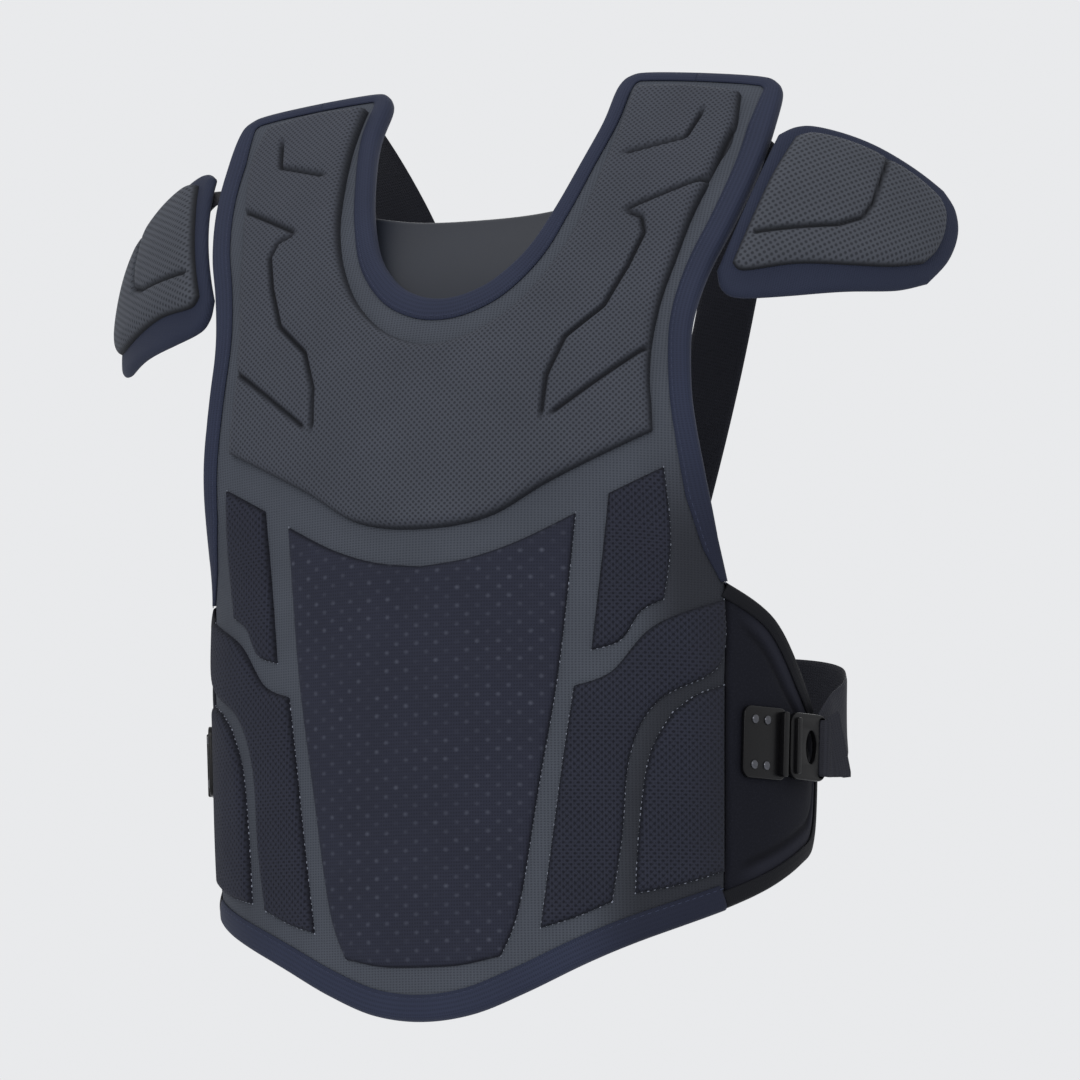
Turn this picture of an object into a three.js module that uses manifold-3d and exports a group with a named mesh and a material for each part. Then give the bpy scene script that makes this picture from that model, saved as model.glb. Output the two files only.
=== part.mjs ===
// A catcher's chest protector: a moulded foam front that hangs on the shoulders, with raised pads,
// bound edges, shoulder caps, side wings and a buckled strap round the back.
//
// Millimetres, +Z up. The front faces -Y and the wearer's left is +X. The origin is the shoulder seat,
// midway between the tops of the shoulders.
//
// Most pieces are drawn flat, as a pattern cutter would, in two lengths that run along the body: across,
// from the centre line round to the side, and down, from behind the shoulder crest to the hem. The torso
// form below turns such a flat place, and a height above the body, into a point in space.

import * as THREE from "three";
import { mergeVertices } from "three/addons/utils/BufferGeometryUtils.js";
import Module from "manifold-3d";

const wasm = await Module();
wasm.setup();

const { clamp, smoothstep, degToRad } = THREE.MathUtils;

// Sides of the body, and how the shoulder cap hangs on each
const SIDES = [
  { name: "left", sign: 1, cap: { gap: 0, slump: 0 } },
  { name: "right", sign: -1, cap: { gap: 1, slump: 0.25 } },
];

// Thicknesses and heights above the body
const CLEARANCE = 0.5;
const SHELL_TOP = 8;
const SHELL_BEVEL = 0.6;
const CHEST_PAD_GAP = 0.8;
const CHEST_PAD_TOP = 17;
const CHEST_PAD_BEVEL = 4.5;
const BELLY_PANEL_TOP = 12.5;
const BELLY_PANEL_BEVEL = 2.6;
const WING_TOP = 7.5;
const WING_BEVEL = 1.5;
const TAPE = 1.2;
const TAPE_GAP = 0.8;
const TAPE_SLOPE = 0.4;

// Torso form: one row for each cross-section, from behind the shoulder crest down to the hem. y and z place
// it on the centre line, frontRadius and frontArc give the front curve, flankRadius the curve of the sides.
const TORSO_SECTIONS = [
  { y: 36, z: 17, frontRadius: 1400, frontArc: 300, flankRadius: 120 },
  { y: 4, z: 19.5, frontRadius: 1400, frontArc: 300, flankRadius: 120 },
  { y: -38, z: -24, frontRadius: 1050, frontArc: 240, flankRadius: 120 },
  { y: -80, z: -92, frontRadius: 950, frontArc: 200, flankRadius: 116 },
  { y: -116, z: -180, frontRadius: 545, frontArc: 165, flankRadius: 108 },
  { y: -128, z: -270, frontRadius: 300, frontArc: 128, flankRadius: 110 },
  { y: -130, z: -360, frontRadius: 270, frontArc: 120, flankRadius: 116 },
  { y: -130, z: -460, frontRadius: 255, frontArc: 115, flankRadius: 118 },
  { y: -127, z: -575, frontRadius: 245, frontArc: 103, flankRadius: 107 },
];

// Flat outlines of the wearer's left half, in [across, down]. Each side of an outline is a smooth curve
// through a few places. The rungs of the shell and the chest pad pair a place on the neck or the centre line
// with one on the arm side.
const SHELL = {
  rungs: [
    { inner: [82, 42], outer: [176, 46] },
    { inner: [78, 53], outer: [180.5, 58] },
    { inner: [77, 82], outer: [180.5, 97] },
    { inner: [71, 116], outer: [177.5, 129] },
    { inner: [62, 152], outer: [171, 162] },
    { inner: [50, 182], outer: [162.5, 191] },
    { inner: [33, 203], outer: [157.5, 214] },
    { inner: [16, 213], outer: [155.5, 232] },
    { inner: [0, 216], outer: [156, 250] },
    { inner: [0, 260], outer: [159.5, 286] },
    { inner: [0, 325], outer: [167.5, 331] },
    { inner: [0, 410], outer: [181, 389] },
    { inner: [0, 490], outer: [181, 455] },
    { inner: [0, 570], outer: [181, 520] },
    { inner: [0, 650], outer: [181, 586] },
  ],
  top: [[82, 42], [92, 38], [126, 38.5], [164, 41], [176, 46]],
  hem: [[0, 650], [31, 646], [62, 634], [98, 617], [132, 603], [181, 586]],
  seam: 181,
  neckRungs: 8,
  armRungs: 11,
  flapRungs: 6,
  chestRungs: 9,
};
const CHEST_PAD = {
  rungs: [
    { inner: [89, 57], outer: [158, 60] },
    { inner: [88.5, 92], outer: [161.5, 95] },
    { inner: [85, 128], outer: [155, 130] },
    { inner: [80, 160], outer: [148.5, 160] },
    { inner: [70, 190], outer: [143.5, 189] },
    { inner: [54, 217], outer: [138.5, 215] },
    { inner: [30, 238], outer: [136, 236] },
    { inner: [0, 247], outer: [135, 255] },
    { inner: [0, 285], outer: [135.5, 271] },
    { inner: [0, 322], outer: [137, 286] },
    { inner: [0, 360], outer: [138, 301] },
  ],
  top: [[89, 57], [122, 56], [158, 60]],
  hem: [[0, 360], [41, 354], [79, 332], [138, 301]],
  seam: 181,
  neckRungs: 7,
};
const BELLY_PANELS = {
  center: {
    top: [[0, 382], [30, 378], [60, 368], [93, 351]],
    outer: [[93, 351], [84, 440], [72, 514], [60, 585], [49, 614]],
    bottom: [[0, 620], [25, 619], [49, 614]],
    inner: [[0, 382], [0, 445], [0, 510], [0, 570], [0, 620]],
  },
  upper: {
    top: [[112, 339], [144, 322]],
    outer: [[144, 322], [147, 365], [143, 403]],
    bottom: [[102, 434], [119, 428], [130, 411], [143, 403]],
    inner: [[112, 339], [107, 388], [102, 434]],
  },
  lower: {
    top: [[92, 455], [114, 446], [138, 419], [176, 402]],
    outer: [[176, 402], [174, 440], [140, 463], [124, 495], [119, 545], [113, 583]],
    bottom: [[72, 598], [92, 592], [113, 583]],
    inner: [[92, 455], [86, 495], [80, 540], [72, 598]],
  },
  outer: {
    top: [[148, 470], [162, 459], [177, 453]],
    outer: [[177, 453], [177, 510], [177, 565]],
    bottom: [[126, 578], [150, 573], [177, 565]],
    inner: [[148, 470], [135, 495], [129, 535], [126, 578]],
  },
};
const WING = {
  top: [[181.6, 391], [217, 410], [247, 441], [284, 472]],
  outer: [[284, 472], [297, 492], [297, 522], [280, 545]],
  bottom: [[181.6, 585], [214, 573], [252, 557], [280, 545]],
  inner: [[181.6, 391], [181.6, 455], [181.6, 520], [181.6, 585]],
};

// Grooves pressed into the chest pad
const CHEST_GROOVES = {
  shoulder: [[140, 79], [134, 103], [98, 117]],
  brow: [[161, 88], [154.5, 133], [107.5, 160]],
  rib: [[107.5, 160], [121.5, 171], [116, 199], [105, 226], [84, 246], [75, 270], [73, 296]],
  pectoral: [[135, 249], [78, 294]],
};
const GROOVE_HALF_WIDTH = 2.2;
const GROOVE_DEPTH = 3.6;
const GROOVE_STEP = 20;

// Widths of the bound edges: the front leg of the tape where it is narrow and where it is wide, and the
// stretch of the way down over which it widens
const NECK_BAND = { narrow: 9, wide: 14, from: 120, to: 216 };
const ARM_BAND = { narrow: 13, wide: 20, from: 240, to: 389 };
const HEM_BAND = { narrow: 14, wide: 14, from: 0, to: 1 };
const WING_BAND = { narrow: 9, wide: 9, from: 0, to: 1 };
const BACK_LEG = 9;

// Throat guard: a crescent behind the neckline that leans in towards the throat
const THROAT = {
  top: [[-80, 131], [-40, 141], [0, 143.5], [40, 141], [80, 131]],
  outer: [[80, 131], [80, 145], [80, 160]],
  bottom: [[-80, 160], [-58, 205], [-30, 231], [0, 241], [30, 231], [58, 205], [80, 160]],
  inner: [[-80, 131], [-80, 145], [-80, 160]],
  thickness: 3.5,
  bevel: 0.8,
  lean: 8,
  leanFrom: 135,
  leanTo: 210,
};

// Shoulder cap: a shallow dish beside the arm edge. Its flat places are [along the arm edge, out from it].
const CAP = {
  base: new THREE.Vector3(186.5, -54.5, -76),
  along: new THREE.Vector3(-0.08, -0.4, -0.912),
  outward: new THREE.Vector3(0.4, -0.856, 0.32),
  bendOut: 165,
  bendAlong: 200,
  top: 7,
  bevel: 2,
  padGap: 0.8,
  padTop: 14,
  padBevel: 3.5,
  outline: {
    top: [[-52, -1], [-62, 8], [-67, 21], [-68.5, 50], [-65, 80], [-60, 107]],
    outer: [[-60, 107], [-51, 119.5], [-35, 126], [-14, 123.5], [8, 112.5]],
    bottom: [[48, -16], [58, -11], [61, 0], [53, 26], [38, 60], [23, 92], [8, 112.5]],
    inner: [[-52, -1], [0, -8.5], [48, -16]],
  },
  pad: {
    top: [[-50, 9], [-57, 20], [-59, 48], [-55, 82], [-49, 103]],
    outer: [[-49, 103], [-41, 110], [-27, 112.5], [-12, 110], [0, 103.5]],
    bottom: [[42, -8], [45, 0], [33, 28], [22, 60], [12, 84], [0, 103.5]],
    inner: [[-50, 9], [-20, 2], [10, -3], [42, -8]],
  },
  groove: [[22, 1], [-6, 58], [-55, 64]],
};

// Webbing
const WEBBING = 2.5;
const UNDERSIDE = -TAPE_GAP - TAPE - CLEARANCE - WEBBING / 2;
const SEWN = -CLEARANCE - WEBBING / 2;
const CAP_TAB = {
  width: 20,
  flap: [
    { spot: [160, 82], height: SEWN },
    { spot: [169.5, 88], height: UNDERSIDE - 1.8 },
    { spot: [182.5, 96.5], height: UNDERSIDE - 5 },
  ],
  seats: [
    { spot: [-44, 3], height: SEWN - 2.2 },
    { spot: [-36, 16], height: SEWN - 1.2 },
    { spot: [-24, 34], height: SEWN - 0.5 },
  ],
};

// Shoulder strap: sewn under the flap, over the crest and down the back. share is how far it has come from
// its shoulder to the place where it is sewn to the waist strap.
const SHOULDER_STRAP = { width: 38, shoulder: 125, sewn: 24, underFlap: [82, 64, 44, 26, 8] };
const BACK_ROUTE = [
  { y: 74, z: -21, share: 0.05 },
  { y: 101, z: -60, share: 0.15 },
  { y: 116, z: -130, share: 0.34 },
  { y: 120.5, z: -225, share: 0.6 },
  { y: 121, z: -322, share: 0.9 },
  { y: 121, z: -373, share: 1 },
];

// Waist strap: from the left hook round to the centre of the back, and the same on the right
const WAIST_STRAP = { width: 46, throat: 34, tail: 12, tailLift: 1.5, tailRise: 4 };
const WAIST_ROUTE = [
  { x: 198.5, y: 34, z: -385 },
  { x: 197, y: 54, z: -375 },
  { x: 183, y: 80, z: -364 },
  { x: 150, y: 102, z: -356 },
  { x: 84, y: 114, z: -352 },
  { x: 0, y: 118, z: -350 },
];

// Buckle on the wing: a riveted plate that ends in a bar, and behind it a hook with a finger hole and a slot
const BUCKLE = { across: 208, down: 485 };
const PLATE = { length: 38, height: 43, thickness: 3, corner: 6 };
const PLATE_BAR = { width: 4.5, height: 39, rise: 4 };
const RIVET = { radius: 2.8, rise: 1.4, insetX: 9, insetY: 8, sides: 8 };
const HOOK = { length: 37, height: 40, thickness: 4, corner: 8, lift: 2, wall: 3.5, tilt: degToRad(6) };
const HOOK_BAR = { width: 4, height: 34, rise: 2.5, inset: 6 };
const FINGER_HOLE = { x: 21, radiusX: 5.5, radiusY: 10 };
const HOOK_SLOT = { width: 4.6, height: 35.5 };

const MATERIALS = {
  shell: new THREE.MeshStandardMaterial({ color: "#414550", roughness: 0.9, metalness: 0 }),
  dimpled: new THREE.MeshStandardMaterial({ color: "#43464d", roughness: 0.75, metalness: 0 }),
  mesh: new THREE.MeshStandardMaterial({ color: "#2c2e3a", roughness: 0.95, metalness: 0 }),
  navy: new THREE.MeshStandardMaterial({ color: "#313749", roughness: 0.9, metalness: 0 }),
  wing: new THREE.MeshStandardMaterial({ color: "#212129", roughness: 0.95, metalness: 0 }),
  throat: new THREE.MeshStandardMaterial({ color: "#3d4047", roughness: 0.55, metalness: 0 }),
  plastic: new THREE.MeshStandardMaterial({ color: "#1e1e22", roughness: 0.4, metalness: 0 }),
  webbing: new THREE.MeshStandardMaterial({ color: "#21222a", roughness: 0.9, metalness: 0 }),
};

// Torso form

const DOWN_KNOTS = TORSO_SECTIONS.map(() => 0);
for (let i = 1; i < TORSO_SECTIONS.length; i++) {
  const above = TORSO_SECTIONS[i - 1];
  const here = TORSO_SECTIONS[i];
  DOWN_KNOTS[i] = DOWN_KNOTS[i - 1] + Math.hypot(here.y - above.y, here.z - above.z);
}

// One column of the torso sections, smoothed along the way down.
function sectionValue(column, down) {
  const last = DOWN_KNOTS.length - 1;
  const value = (i) => TORSO_SECTIONS[i][column];
  const slope = (i) => {
    const before = Math.max(i - 1, 0);
    const after = Math.min(i + 1, last);
    return (value(after) - value(before)) / (DOWN_KNOTS[after] - DOWN_KNOTS[before]);
  };
  const i = clamp(DOWN_KNOTS.findLastIndex((knot) => knot <= down), 0, last - 1);
  const span = DOWN_KNOTS[i + 1] - DOWN_KNOTS[i];
  const t = (down - DOWN_KNOTS[i]) / span;
  const rise = t * t * (3 - 2 * t);
  const start = t * (1 - t) * (1 - t) * span * slope(i);
  const end = t * t * (t - 1) * span * slope(i + 1);
  return value(i) + rise * (value(i + 1) - value(i)) + start + end;
}

// Point on the body side: a front arc that runs on into a flank arc, hung square to the centre profile.
function formPoint(across, down) {
  const step = 0.5;
  const dy = sectionValue("y", down + step) - sectionValue("y", down - step);
  const dz = sectionValue("z", down + step) - sectionValue("z", down - step);
  const length = Math.hypot(dy, dz);
  const frontRadius = sectionValue("frontRadius", down);
  const frontArc = sectionValue("frontArc", down);
  const flankRadius = sectionValue("flankRadius", down);
  const reach = Math.abs(across);
  const turn = Math.min(reach, frontArc) / frontRadius;
  const flank = turn + Math.max(reach - frontArc, 0) / flankRadius;
  const x = frontRadius * Math.sin(turn) + flankRadius * (Math.sin(flank) - Math.sin(turn));
  const inward = frontRadius * (1 - Math.cos(turn)) + flankRadius * (Math.cos(turn) - Math.cos(flank));
  return new THREE.Vector3(
    Math.sign(across) * x,
    sectionValue("y", down) - (dz / length) * inward,
    sectionValue("z", down) + (dy / length) * inward,
  );
}

// Directions on the form at a flat place: across, down and straight out of the body.
function formFrame(across, down) {
  const step = 0.5;
  const right = formPoint(across + step, down).sub(formPoint(across - step, down)).normalize();
  const below = formPoint(across, down + step).sub(formPoint(across, down - step)).normalize();
  const out = below.clone().cross(right).normalize();
  return { right, below, out };
}

function onForm([across, down], height) {
  return formPoint(across, down).addScaledVector(formFrame(across, down).out, height);
}

// Flat drawing

const mirrored = ([across, down]) => [-across, down];

// Smooth curve through flat places; t runs from 0 to 1 with equal shares between them.
function smoothCurve(places) {
  const curve = new THREE.SplineCurve(places.map(([a, d]) => new THREE.Vector2(a, d)));
  return (t) => curve.getPoint(t).toArray();
}

// Coons patch between four edge curves: u runs from inner to outer, w from top to bottom.
function patchBetween({ top, outer, bottom, inner }) {
  const corners = [top(0), top(1), bottom(0), bottom(1)];
  return (u, w) => {
    const [t, b, l, r] = [top(u), bottom(u), inner(w), outer(w)];
    return [0, 1].map((k) => {
      const ruled = (1 - w) * t[k] + w * b[k] + (1 - u) * l[k] + u * r[k];
      const upper = (1 - w) * ((1 - u) * corners[0][k] + u * corners[1][k]);
      const lower = w * ((1 - u) * corners[2][k] + u * corners[3][k]);
      return ruled - upper - lower;
    });
  };
}

function patchOf({ top, outer, bottom, inner }) {
  const [topCurve, outerCurve, bottomCurve, innerCurve] = [top, outer, bottom, inner].map(smoothCurve);
  return patchBetween({ top: topCurve, outer: outerCurve, bottom: bottomCurve, inner: innerCurve });
}

// Half patch between rungs. The neck edge meets the centre line square, as one curve with the other half.
// Places that would cross the centre line or the side seam are held there.
function rungPatch({ rungs, neckRungs, top, hem, seam }) {
  const inner = rungs.map((rung) => rung.inner);
  const neck = smoothCurve([...inner.slice(0, neckRungs + 1), mirrored(inner[neckRungs - 1])]);
  const center = smoothCurve(inner.slice(neckRungs));
  const last = rungs.length - 1;
  const innerCurve = (w) => {
    const rung = w * last;
    return rung < neckRungs ? neck(rung / (neckRungs + 1)) : center((rung - neckRungs) / (last - neckRungs));
  };
  const outerCurve = smoothCurve(rungs.map((rung) => rung.outer));
  const patch = patchBetween({
    top: smoothCurve(top),
    outer: outerCurve,
    bottom: smoothCurve(hem),
    inner: innerCurve,
  });
  return (u, w) => {
    const [across, down] = patch(u, w);
    return [clamp(across, 0, seam), down];
  };
}

// Shares from 0 to 1: a narrow rim at each end and equal steps between.
function rimmedShares(steps, rim) {
  const inner = Array.from({ length: steps + 1 }, (_, i) => rim + ((1 - 2 * rim) * i) / steps);
  return [0, ...inner, 1];
}

const evenShares = (steps) => Array.from({ length: steps + 1 }, (_, i) => i / steps);

// Rows and columns of flat places over a patch.
function gridOf(patch, us, ws) {
  return ws.map((w) => us.map((u) => patch(u, w)));
}

const mirroredGrid = (grid) => grid.map((row) => row.map(mirrored));

// Part of a grid, drawn back by half the clearance where it is cut off from the rest.
function gridSection(grid, [top, bottom], [inner, outer]) {
  const rows = grid.slice(top, bottom + 1).map((row) => row.slice(inner, outer + 1));
  const drawBack = (spot, next) => {
    const share = CLEARANCE / 2 / Math.hypot(next[0] - spot[0], next[1] - spot[1]);
    return spot.map((value, n) => value + (next[n] - value) * share);
  };
  if (top > 0) rows[0] = rows[0].map((spot, j) => drawBack(spot, rows[1][j]));
  if (bottom < grid.length - 1) rows.push(rows.pop().map((spot, j) => drawBack(spot, rows.at(-1)[j])));
  return rows.map((row) => {
    const first = inner > 0 ? drawBack(row[0], row[1]) : row[0];
    const last = outer < grid[0].length - 1 ? drawBack(row.at(-1), row.at(-2)) : row.at(-1);
    return [first, ...row.slice(1, -1), last];
  });
}

// Solids

// Closed geometry from points and triangles, turned so that its faces point out.
function closedGeometry(points, triangles) {
  const volume = triangles.reduce((sum, [a, b, c]) => {
    return sum + points[a].dot(points[b].clone().cross(points[c]));
  }, 0);
  const facing = volume < 0 ? triangles.map(([a, b, c]) => [a, c, b]) : triangles;
  const geometry = new THREE.BufferGeometry().setFromPoints(points);
  geometry.setIndex(facing.flat());
  geometry.computeVertexNormals();
  return geometry;
}

// Pad of a given thickness over flat grids, which join where their places meet. bevel lowers the rim.
function thicken(grids, place, bottom, top, bevel = 0) {
  const flat = [];
  const indexOf = new Map();
  const vertex = (spot) => {
    const key = spot.map((value) => value.toFixed(2)).join();
    if (!indexOf.has(key)) {
      indexOf.set(key, flat.length);
      flat.push(spot);
    }
    return indexOf.get(key);
  };
  const faces = [];
  const addFace = (a, b, c) => {
    const [p, q, r] = [flat[a], flat[b], flat[c]];
    const area = (q[0] - p[0]) * (r[1] - p[1]) - (r[0] - p[0]) * (q[1] - p[1]);
    if (Math.abs(area) > 1e-3) faces.push(area < 0 ? [a, b, c] : [a, c, b]);
  };
  for (const grid of grids) {
    const rows = grid.map((row) => row.map(vertex));
    for (let i = 0; i + 1 < rows.length; i++) {
      for (let j = 0; j + 1 < rows[i].length; j++) {
        addFace(rows[i][j], rows[i][j + 1], rows[i + 1][j + 1]);
        addFace(rows[i][j], rows[i + 1][j + 1], rows[i + 1][j]);
      }
    }
  }
  const directed = new Set(faces.flatMap(([a, b, c]) => [`${a},${b}`, `${b},${c}`, `${c},${a}`]));
  const rim = [...directed].map((key) => key.split(",").map(Number));
  const border = rim.filter(([a, b]) => !directed.has(`${b},${a}`));
  const onBorder = new Set(border.flat());
  const heightAt = (height, spot) => (typeof height === "function" ? height(spot) : height);
  const upper = flat.map((spot, i) => place(spot, heightAt(top, spot) - (onBorder.has(i) ? bevel : 0)));
  const lower = flat.map((spot) => place(spot, heightAt(bottom, spot)));
  const count = flat.length;
  const triangles = [
    ...faces,
    ...faces.map(([a, b, c]) => [a + count, c + count, b + count]),
    ...border.flatMap(([a, b]) => [[b, a, a + count], [b, a + count, b + count]]),
  ];
  return closedGeometry([...upper, ...lower], triangles);
}

// Bar through rings of points that share one flat section, closed at both ends. The section's second half
// runs back along its first, and is split the other way, so that both layers of a tape keep the same facets.
function sweep(rings, section) {
  const size = section.length;
  const points = rings.flat();
  const triangles = [];
  for (let i = 0; i + 1 < rings.length; i++) {
    for (let j = 0; j < size; j++) {
      const [a, b] = [i * size + j, i * size + ((j + 1) % size)];
      const [c, d] = [a + size, b + size];
      if (j < size / 2) triangles.push([a, b, c], [b, d, c]);
      else triangles.push([a, b, d], [a, d, c]);
    }
  }
  const contour = section.map(([x, y]) => new THREE.Vector2(x, y));
  const clockwise = THREE.ShapeUtils.isClockWise(contour);
  const cap = THREE.ShapeUtils.triangulateShape(contour, []);
  const end = (rings.length - 1) * size;
  for (const [a, b, c] of cap) {
    triangles.push(clockwise ? [a, b, c] : [a, c, b]);
    triangles.push(clockwise ? [a + end, c + end, b + end] : [a + end, b + end, c + end]);
  }
  return closedGeometry(points, triangles);
}

function solidOf(geometry) {
  const bare = new THREE.BufferGeometry().setAttribute("position", geometry.attributes.position);
  const merged = mergeVertices(bare.setIndex(geometry.index), 1e-3);
  const vertProperties = new Float32Array(merged.attributes.position.array);
  const triVerts = new Uint32Array(merged.index.array);
  return new wasm.Manifold(new wasm.Mesh({ numProp: 3, vertProperties, triVerts }));
}

function geometryOf(solid) {
  const { vertProperties, triVerts } = solid.getMesh();
  const geometry = new THREE.BufferGeometry();
  geometry.setAttribute("position", new THREE.BufferAttribute(new Float32Array(vertProperties), 3));
  geometry.setIndex([...triVerts]);
  geometry.computeVertexNormals();
  return geometry;
}

function cut(geometry, cutters) {
  return geometryOf(cutters.reduce((solid, cutter) => solid.subtract(solidOf(cutter)), solidOf(geometry)));
}

function fuse(first, ...others) {
  return geometryOf(others.reduce((solid, other) => solid.add(solidOf(other)), solidOf(first)));
}

// V-shaped cutter along flat places, to press a groove into a pad.
function grooveCutter(places, place, padTop) {
  const route = [];
  for (let i = 0; i + 1 < places.length; i++) {
    const [from, to] = [places[i], places[i + 1]];
    const steps = Math.ceil(Math.hypot(to[0] - from[0], to[1] - from[1]) / GROOVE_STEP);
    for (let k = 0; k < steps; k++) route.push(from.map((value, n) => value + ((to[n] - value) * k) / steps));
  }
  route.push(places.at(-1));
  const section = [[-GROOVE_HALF_WIDTH, 1], [GROOVE_HALF_WIDTH, 1], [0, -GROOVE_DEPTH]];
  const rings = alongRoute(route).map(({ spot, side, stretch }) => {
    return section.map(([w, h]) => place(spot.map((value, n) => value + side[n] * w * stretch), padTop + h));
  });
  return sweep(rings, section);
}

// Each place of a flat route with the direction square to it, stretched at corners to keep the width.
function alongRoute(route) {
  const unit = ([x, y]) => [x / Math.hypot(x, y), y / Math.hypot(x, y)];
  const heading = (i) => unit([route[i + 1][0] - route[i][0], route[i + 1][1] - route[i][1]]);
  return route.map((spot, i) => {
    const before = heading(Math.max(i - 1, 0));
    const after = heading(Math.min(i, route.length - 2));
    const [x, y] = unit([before[0] + after[0], before[1] + after[1]]);
    return { spot, side: [y, -x], stretch: 1 / (x * before[0] + y * before[1]) };
  });
}

// Folded tape round an edge: a front leg, the wrap and a back leg. inward is 1 or -1, the side of the route
// on which the shell lies.
function bindEdge(route, inward, top, band) {
  const sectionFor = (leg) => [
    [leg, top + TAPE_GAP + TAPE],
    [-TAPE_GAP - TAPE, top + TAPE_GAP + TAPE_SLOPE],
    [-TAPE_GAP - TAPE, -TAPE_GAP],
    [BACK_LEG, -TAPE_GAP - TAPE],
    [BACK_LEG, -TAPE_GAP],
    [-TAPE_GAP, -TAPE_GAP],
    [-TAPE_GAP, top + TAPE_GAP],
    [leg, top + TAPE_GAP],
  ];
  const rings = alongRoute(route).map(({ spot, side, stretch }) => {
    const leg = band.narrow + (band.wide - band.narrow) * smoothstep(spot[1], band.from, band.to);
    return sectionFor(leg).map(([w, h]) => {
      return onForm(spot.map((value, n) => value + inward * side[n] * w * stretch), h);
    });
  });
  return sweep(rings, sectionFor(band.narrow));
}

// Flat strap: each stop has its middle, the direction of its width, and its width.
function strapThrough(stops) {
  const half = WEBBING / 2;
  const section = [[-1, -half], [1, -half], [1, half], [-1, half]];
  const rings = stops.map(({ middle, across, width }, i) => {
    const before = stops[Math.max(i - 1, 0)].middle;
    const after = stops[Math.min(i + 1, stops.length - 1)].middle;
    const along = after.clone().sub(before).normalize();
    const wide = across.clone().addScaledVector(along, -across.dot(along)).normalize();
    const thick = along.clone().cross(wide);
    return section.map(([w, h]) => {
      return middle.clone().addScaledVector(wide, (w * width) / 2).addScaledVector(thick, h);
    });
  });
  return sweep(rings, section);
}

// Assembly

const protector = new THREE.Group();

function addPiece(name, geometry, material, parent = protector) {
  const piece = new THREE.Mesh(geometry, material);
  piece.name = name;
  parent.add(piece);
  return piece;
}

// Shell. It has two rows for each rung down to the wings, then one. The real shell is one moulding. Here
// hairline gaps cut it into flaps, chest and belly, so that its collision follows the hollow behind it.
const lastRung = SHELL.rungs.length - 1;
const shellColumns = rimmedShares(6, 0.06);
const shellRows = evenShares(2 * lastRung).filter((_, i) => i % 2 === 0 || i < 2 * SHELL.armRungs);
const shellGrid = gridOf(rungPatch(SHELL), shellColumns, shellRows);
const shellOver = (...grids) => thicken(grids, onForm, 0, SHELL_TOP, SHELL_BEVEL);
const middleColumn = Math.floor(shellColumns.length / 2);
const flapSpan = [0, 2 * SHELL.flapRungs];
const chestSpan = [2 * SHELL.flapRungs, 2 * SHELL.chestRungs];
const bellySpan = [2 * SHELL.chestRungs, shellGrid.length - 1];
for (const [name, span] of [["chest", chestSpan], ["belly", bellySpan]]) {
  const middle = gridSection(shellGrid, span, [0, middleColumn]);
  const flank = gridSection(shellGrid, span, [middleColumn, shellColumns.length - 1]);
  addPiece(`vest_${name}`, shellOver(middle, mirroredGrid(middle)), MATERIALS.shell);
  addPiece(`vest_${name}_side_left`, shellOver(flank), MATERIALS.shell);
  addPiece(`vest_${name}_side_right`, shellOver(mirroredGrid(flank)), MATERIALS.shell);
}
const flapGrid = gridSection(shellGrid, flapSpan, [0, shellColumns.length - 1]);
addPiece("vest_flap_left", shellOver(flapGrid), MATERIALS.shell);
addPiece("vest_flap_right", shellOver(mirroredGrid(flapGrid)), MATERIALS.shell);

// Bound edges of the neck and the hem
const crest = shellGrid[0];
const crestSplit = Math.floor(crest.length / 2);
const neckEdge = shellGrid.slice(1, 2 * SHELL.neckRungs + 1).map((row) => row[0]);
const armEdge = shellGrid.slice(1, 2 * SHELL.armRungs + 1).map((row) => row.at(-1));
const hemEdge = shellGrid.at(-1);
const neckHalf = [...crest.slice(0, crestSplit).reverse(), ...neckEdge];
const neckRoute = [...neckHalf, ...neckHalf.slice(0, -1).reverse().map(mirrored)];
addPiece("neck_binding", bindEdge(neckRoute, 1, SHELL_TOP, NECK_BAND), MATERIALS.navy);
const hemRoute = [...hemEdge.slice(1).reverse().map(mirrored), ...hemEdge];
addPiece("hem_binding", bindEdge(hemRoute, 1, SHELL_TOP, HEM_BAND), MATERIALS.navy);

// Chest pad with its grooves on both sides
const chestPatch = rungPatch(CHEST_PAD);
const chestNeck = CHEST_PAD.neckRungs / (CHEST_PAD.rungs.length - 1);
const chestRows = [...rimmedShares(12, 0.02), chestNeck, chestNeck + 0.02].sort((a, b) => a - b);
const chestGrid = gridOf(chestPatch, rimmedShares(5, 0.05), chestRows);
const chestBlank = thicken(
  [chestGrid, mirroredGrid(chestGrid)],
  onForm,
  SHELL_TOP + CHEST_PAD_GAP,
  CHEST_PAD_TOP,
  CHEST_PAD_BEVEL,
);
const chestCutters = Object.values(CHEST_GROOVES).flatMap((places) => {
  return [places, places.map(mirrored)].map((route) => grooveCutter(route, onForm, CHEST_PAD_TOP));
});
addPiece("chest_pad", cut(chestBlank, chestCutters), MATERIALS.dimpled);

// Belly panels
function bellyPanel(grids) {
  return thicken(grids, onForm, SHELL_TOP + CLEARANCE, BELLY_PANEL_TOP, BELLY_PANEL_BEVEL);
}

const centerGrid = gridOf(patchOf(BELLY_PANELS.center), rimmedShares(4, 0.06), rimmedShares(5, 0.03));
addPiece("belly_panel_center", bellyPanel([centerGrid, mirroredGrid(centerGrid)]), MATERIALS.mesh);

// Throat guard
const throatLean = ([, down]) => {
  const upright = 1 - smoothstep(down, THROAT.leanFrom, THROAT.leanTo);
  return -TAPE_GAP - TAPE - CLEARANCE - THROAT.lean * upright;
};
const throatGrid = gridOf(patchOf(THROAT), evenShares(10), evenShares(4));
const throatBack = (spot) => throatLean(spot) - THROAT.thickness;
const throat = thicken([throatGrid], onForm, throatBack, throatLean, THROAT.bevel);
addPiece("throat_guard", throat, MATERIALS.throat);

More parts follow.
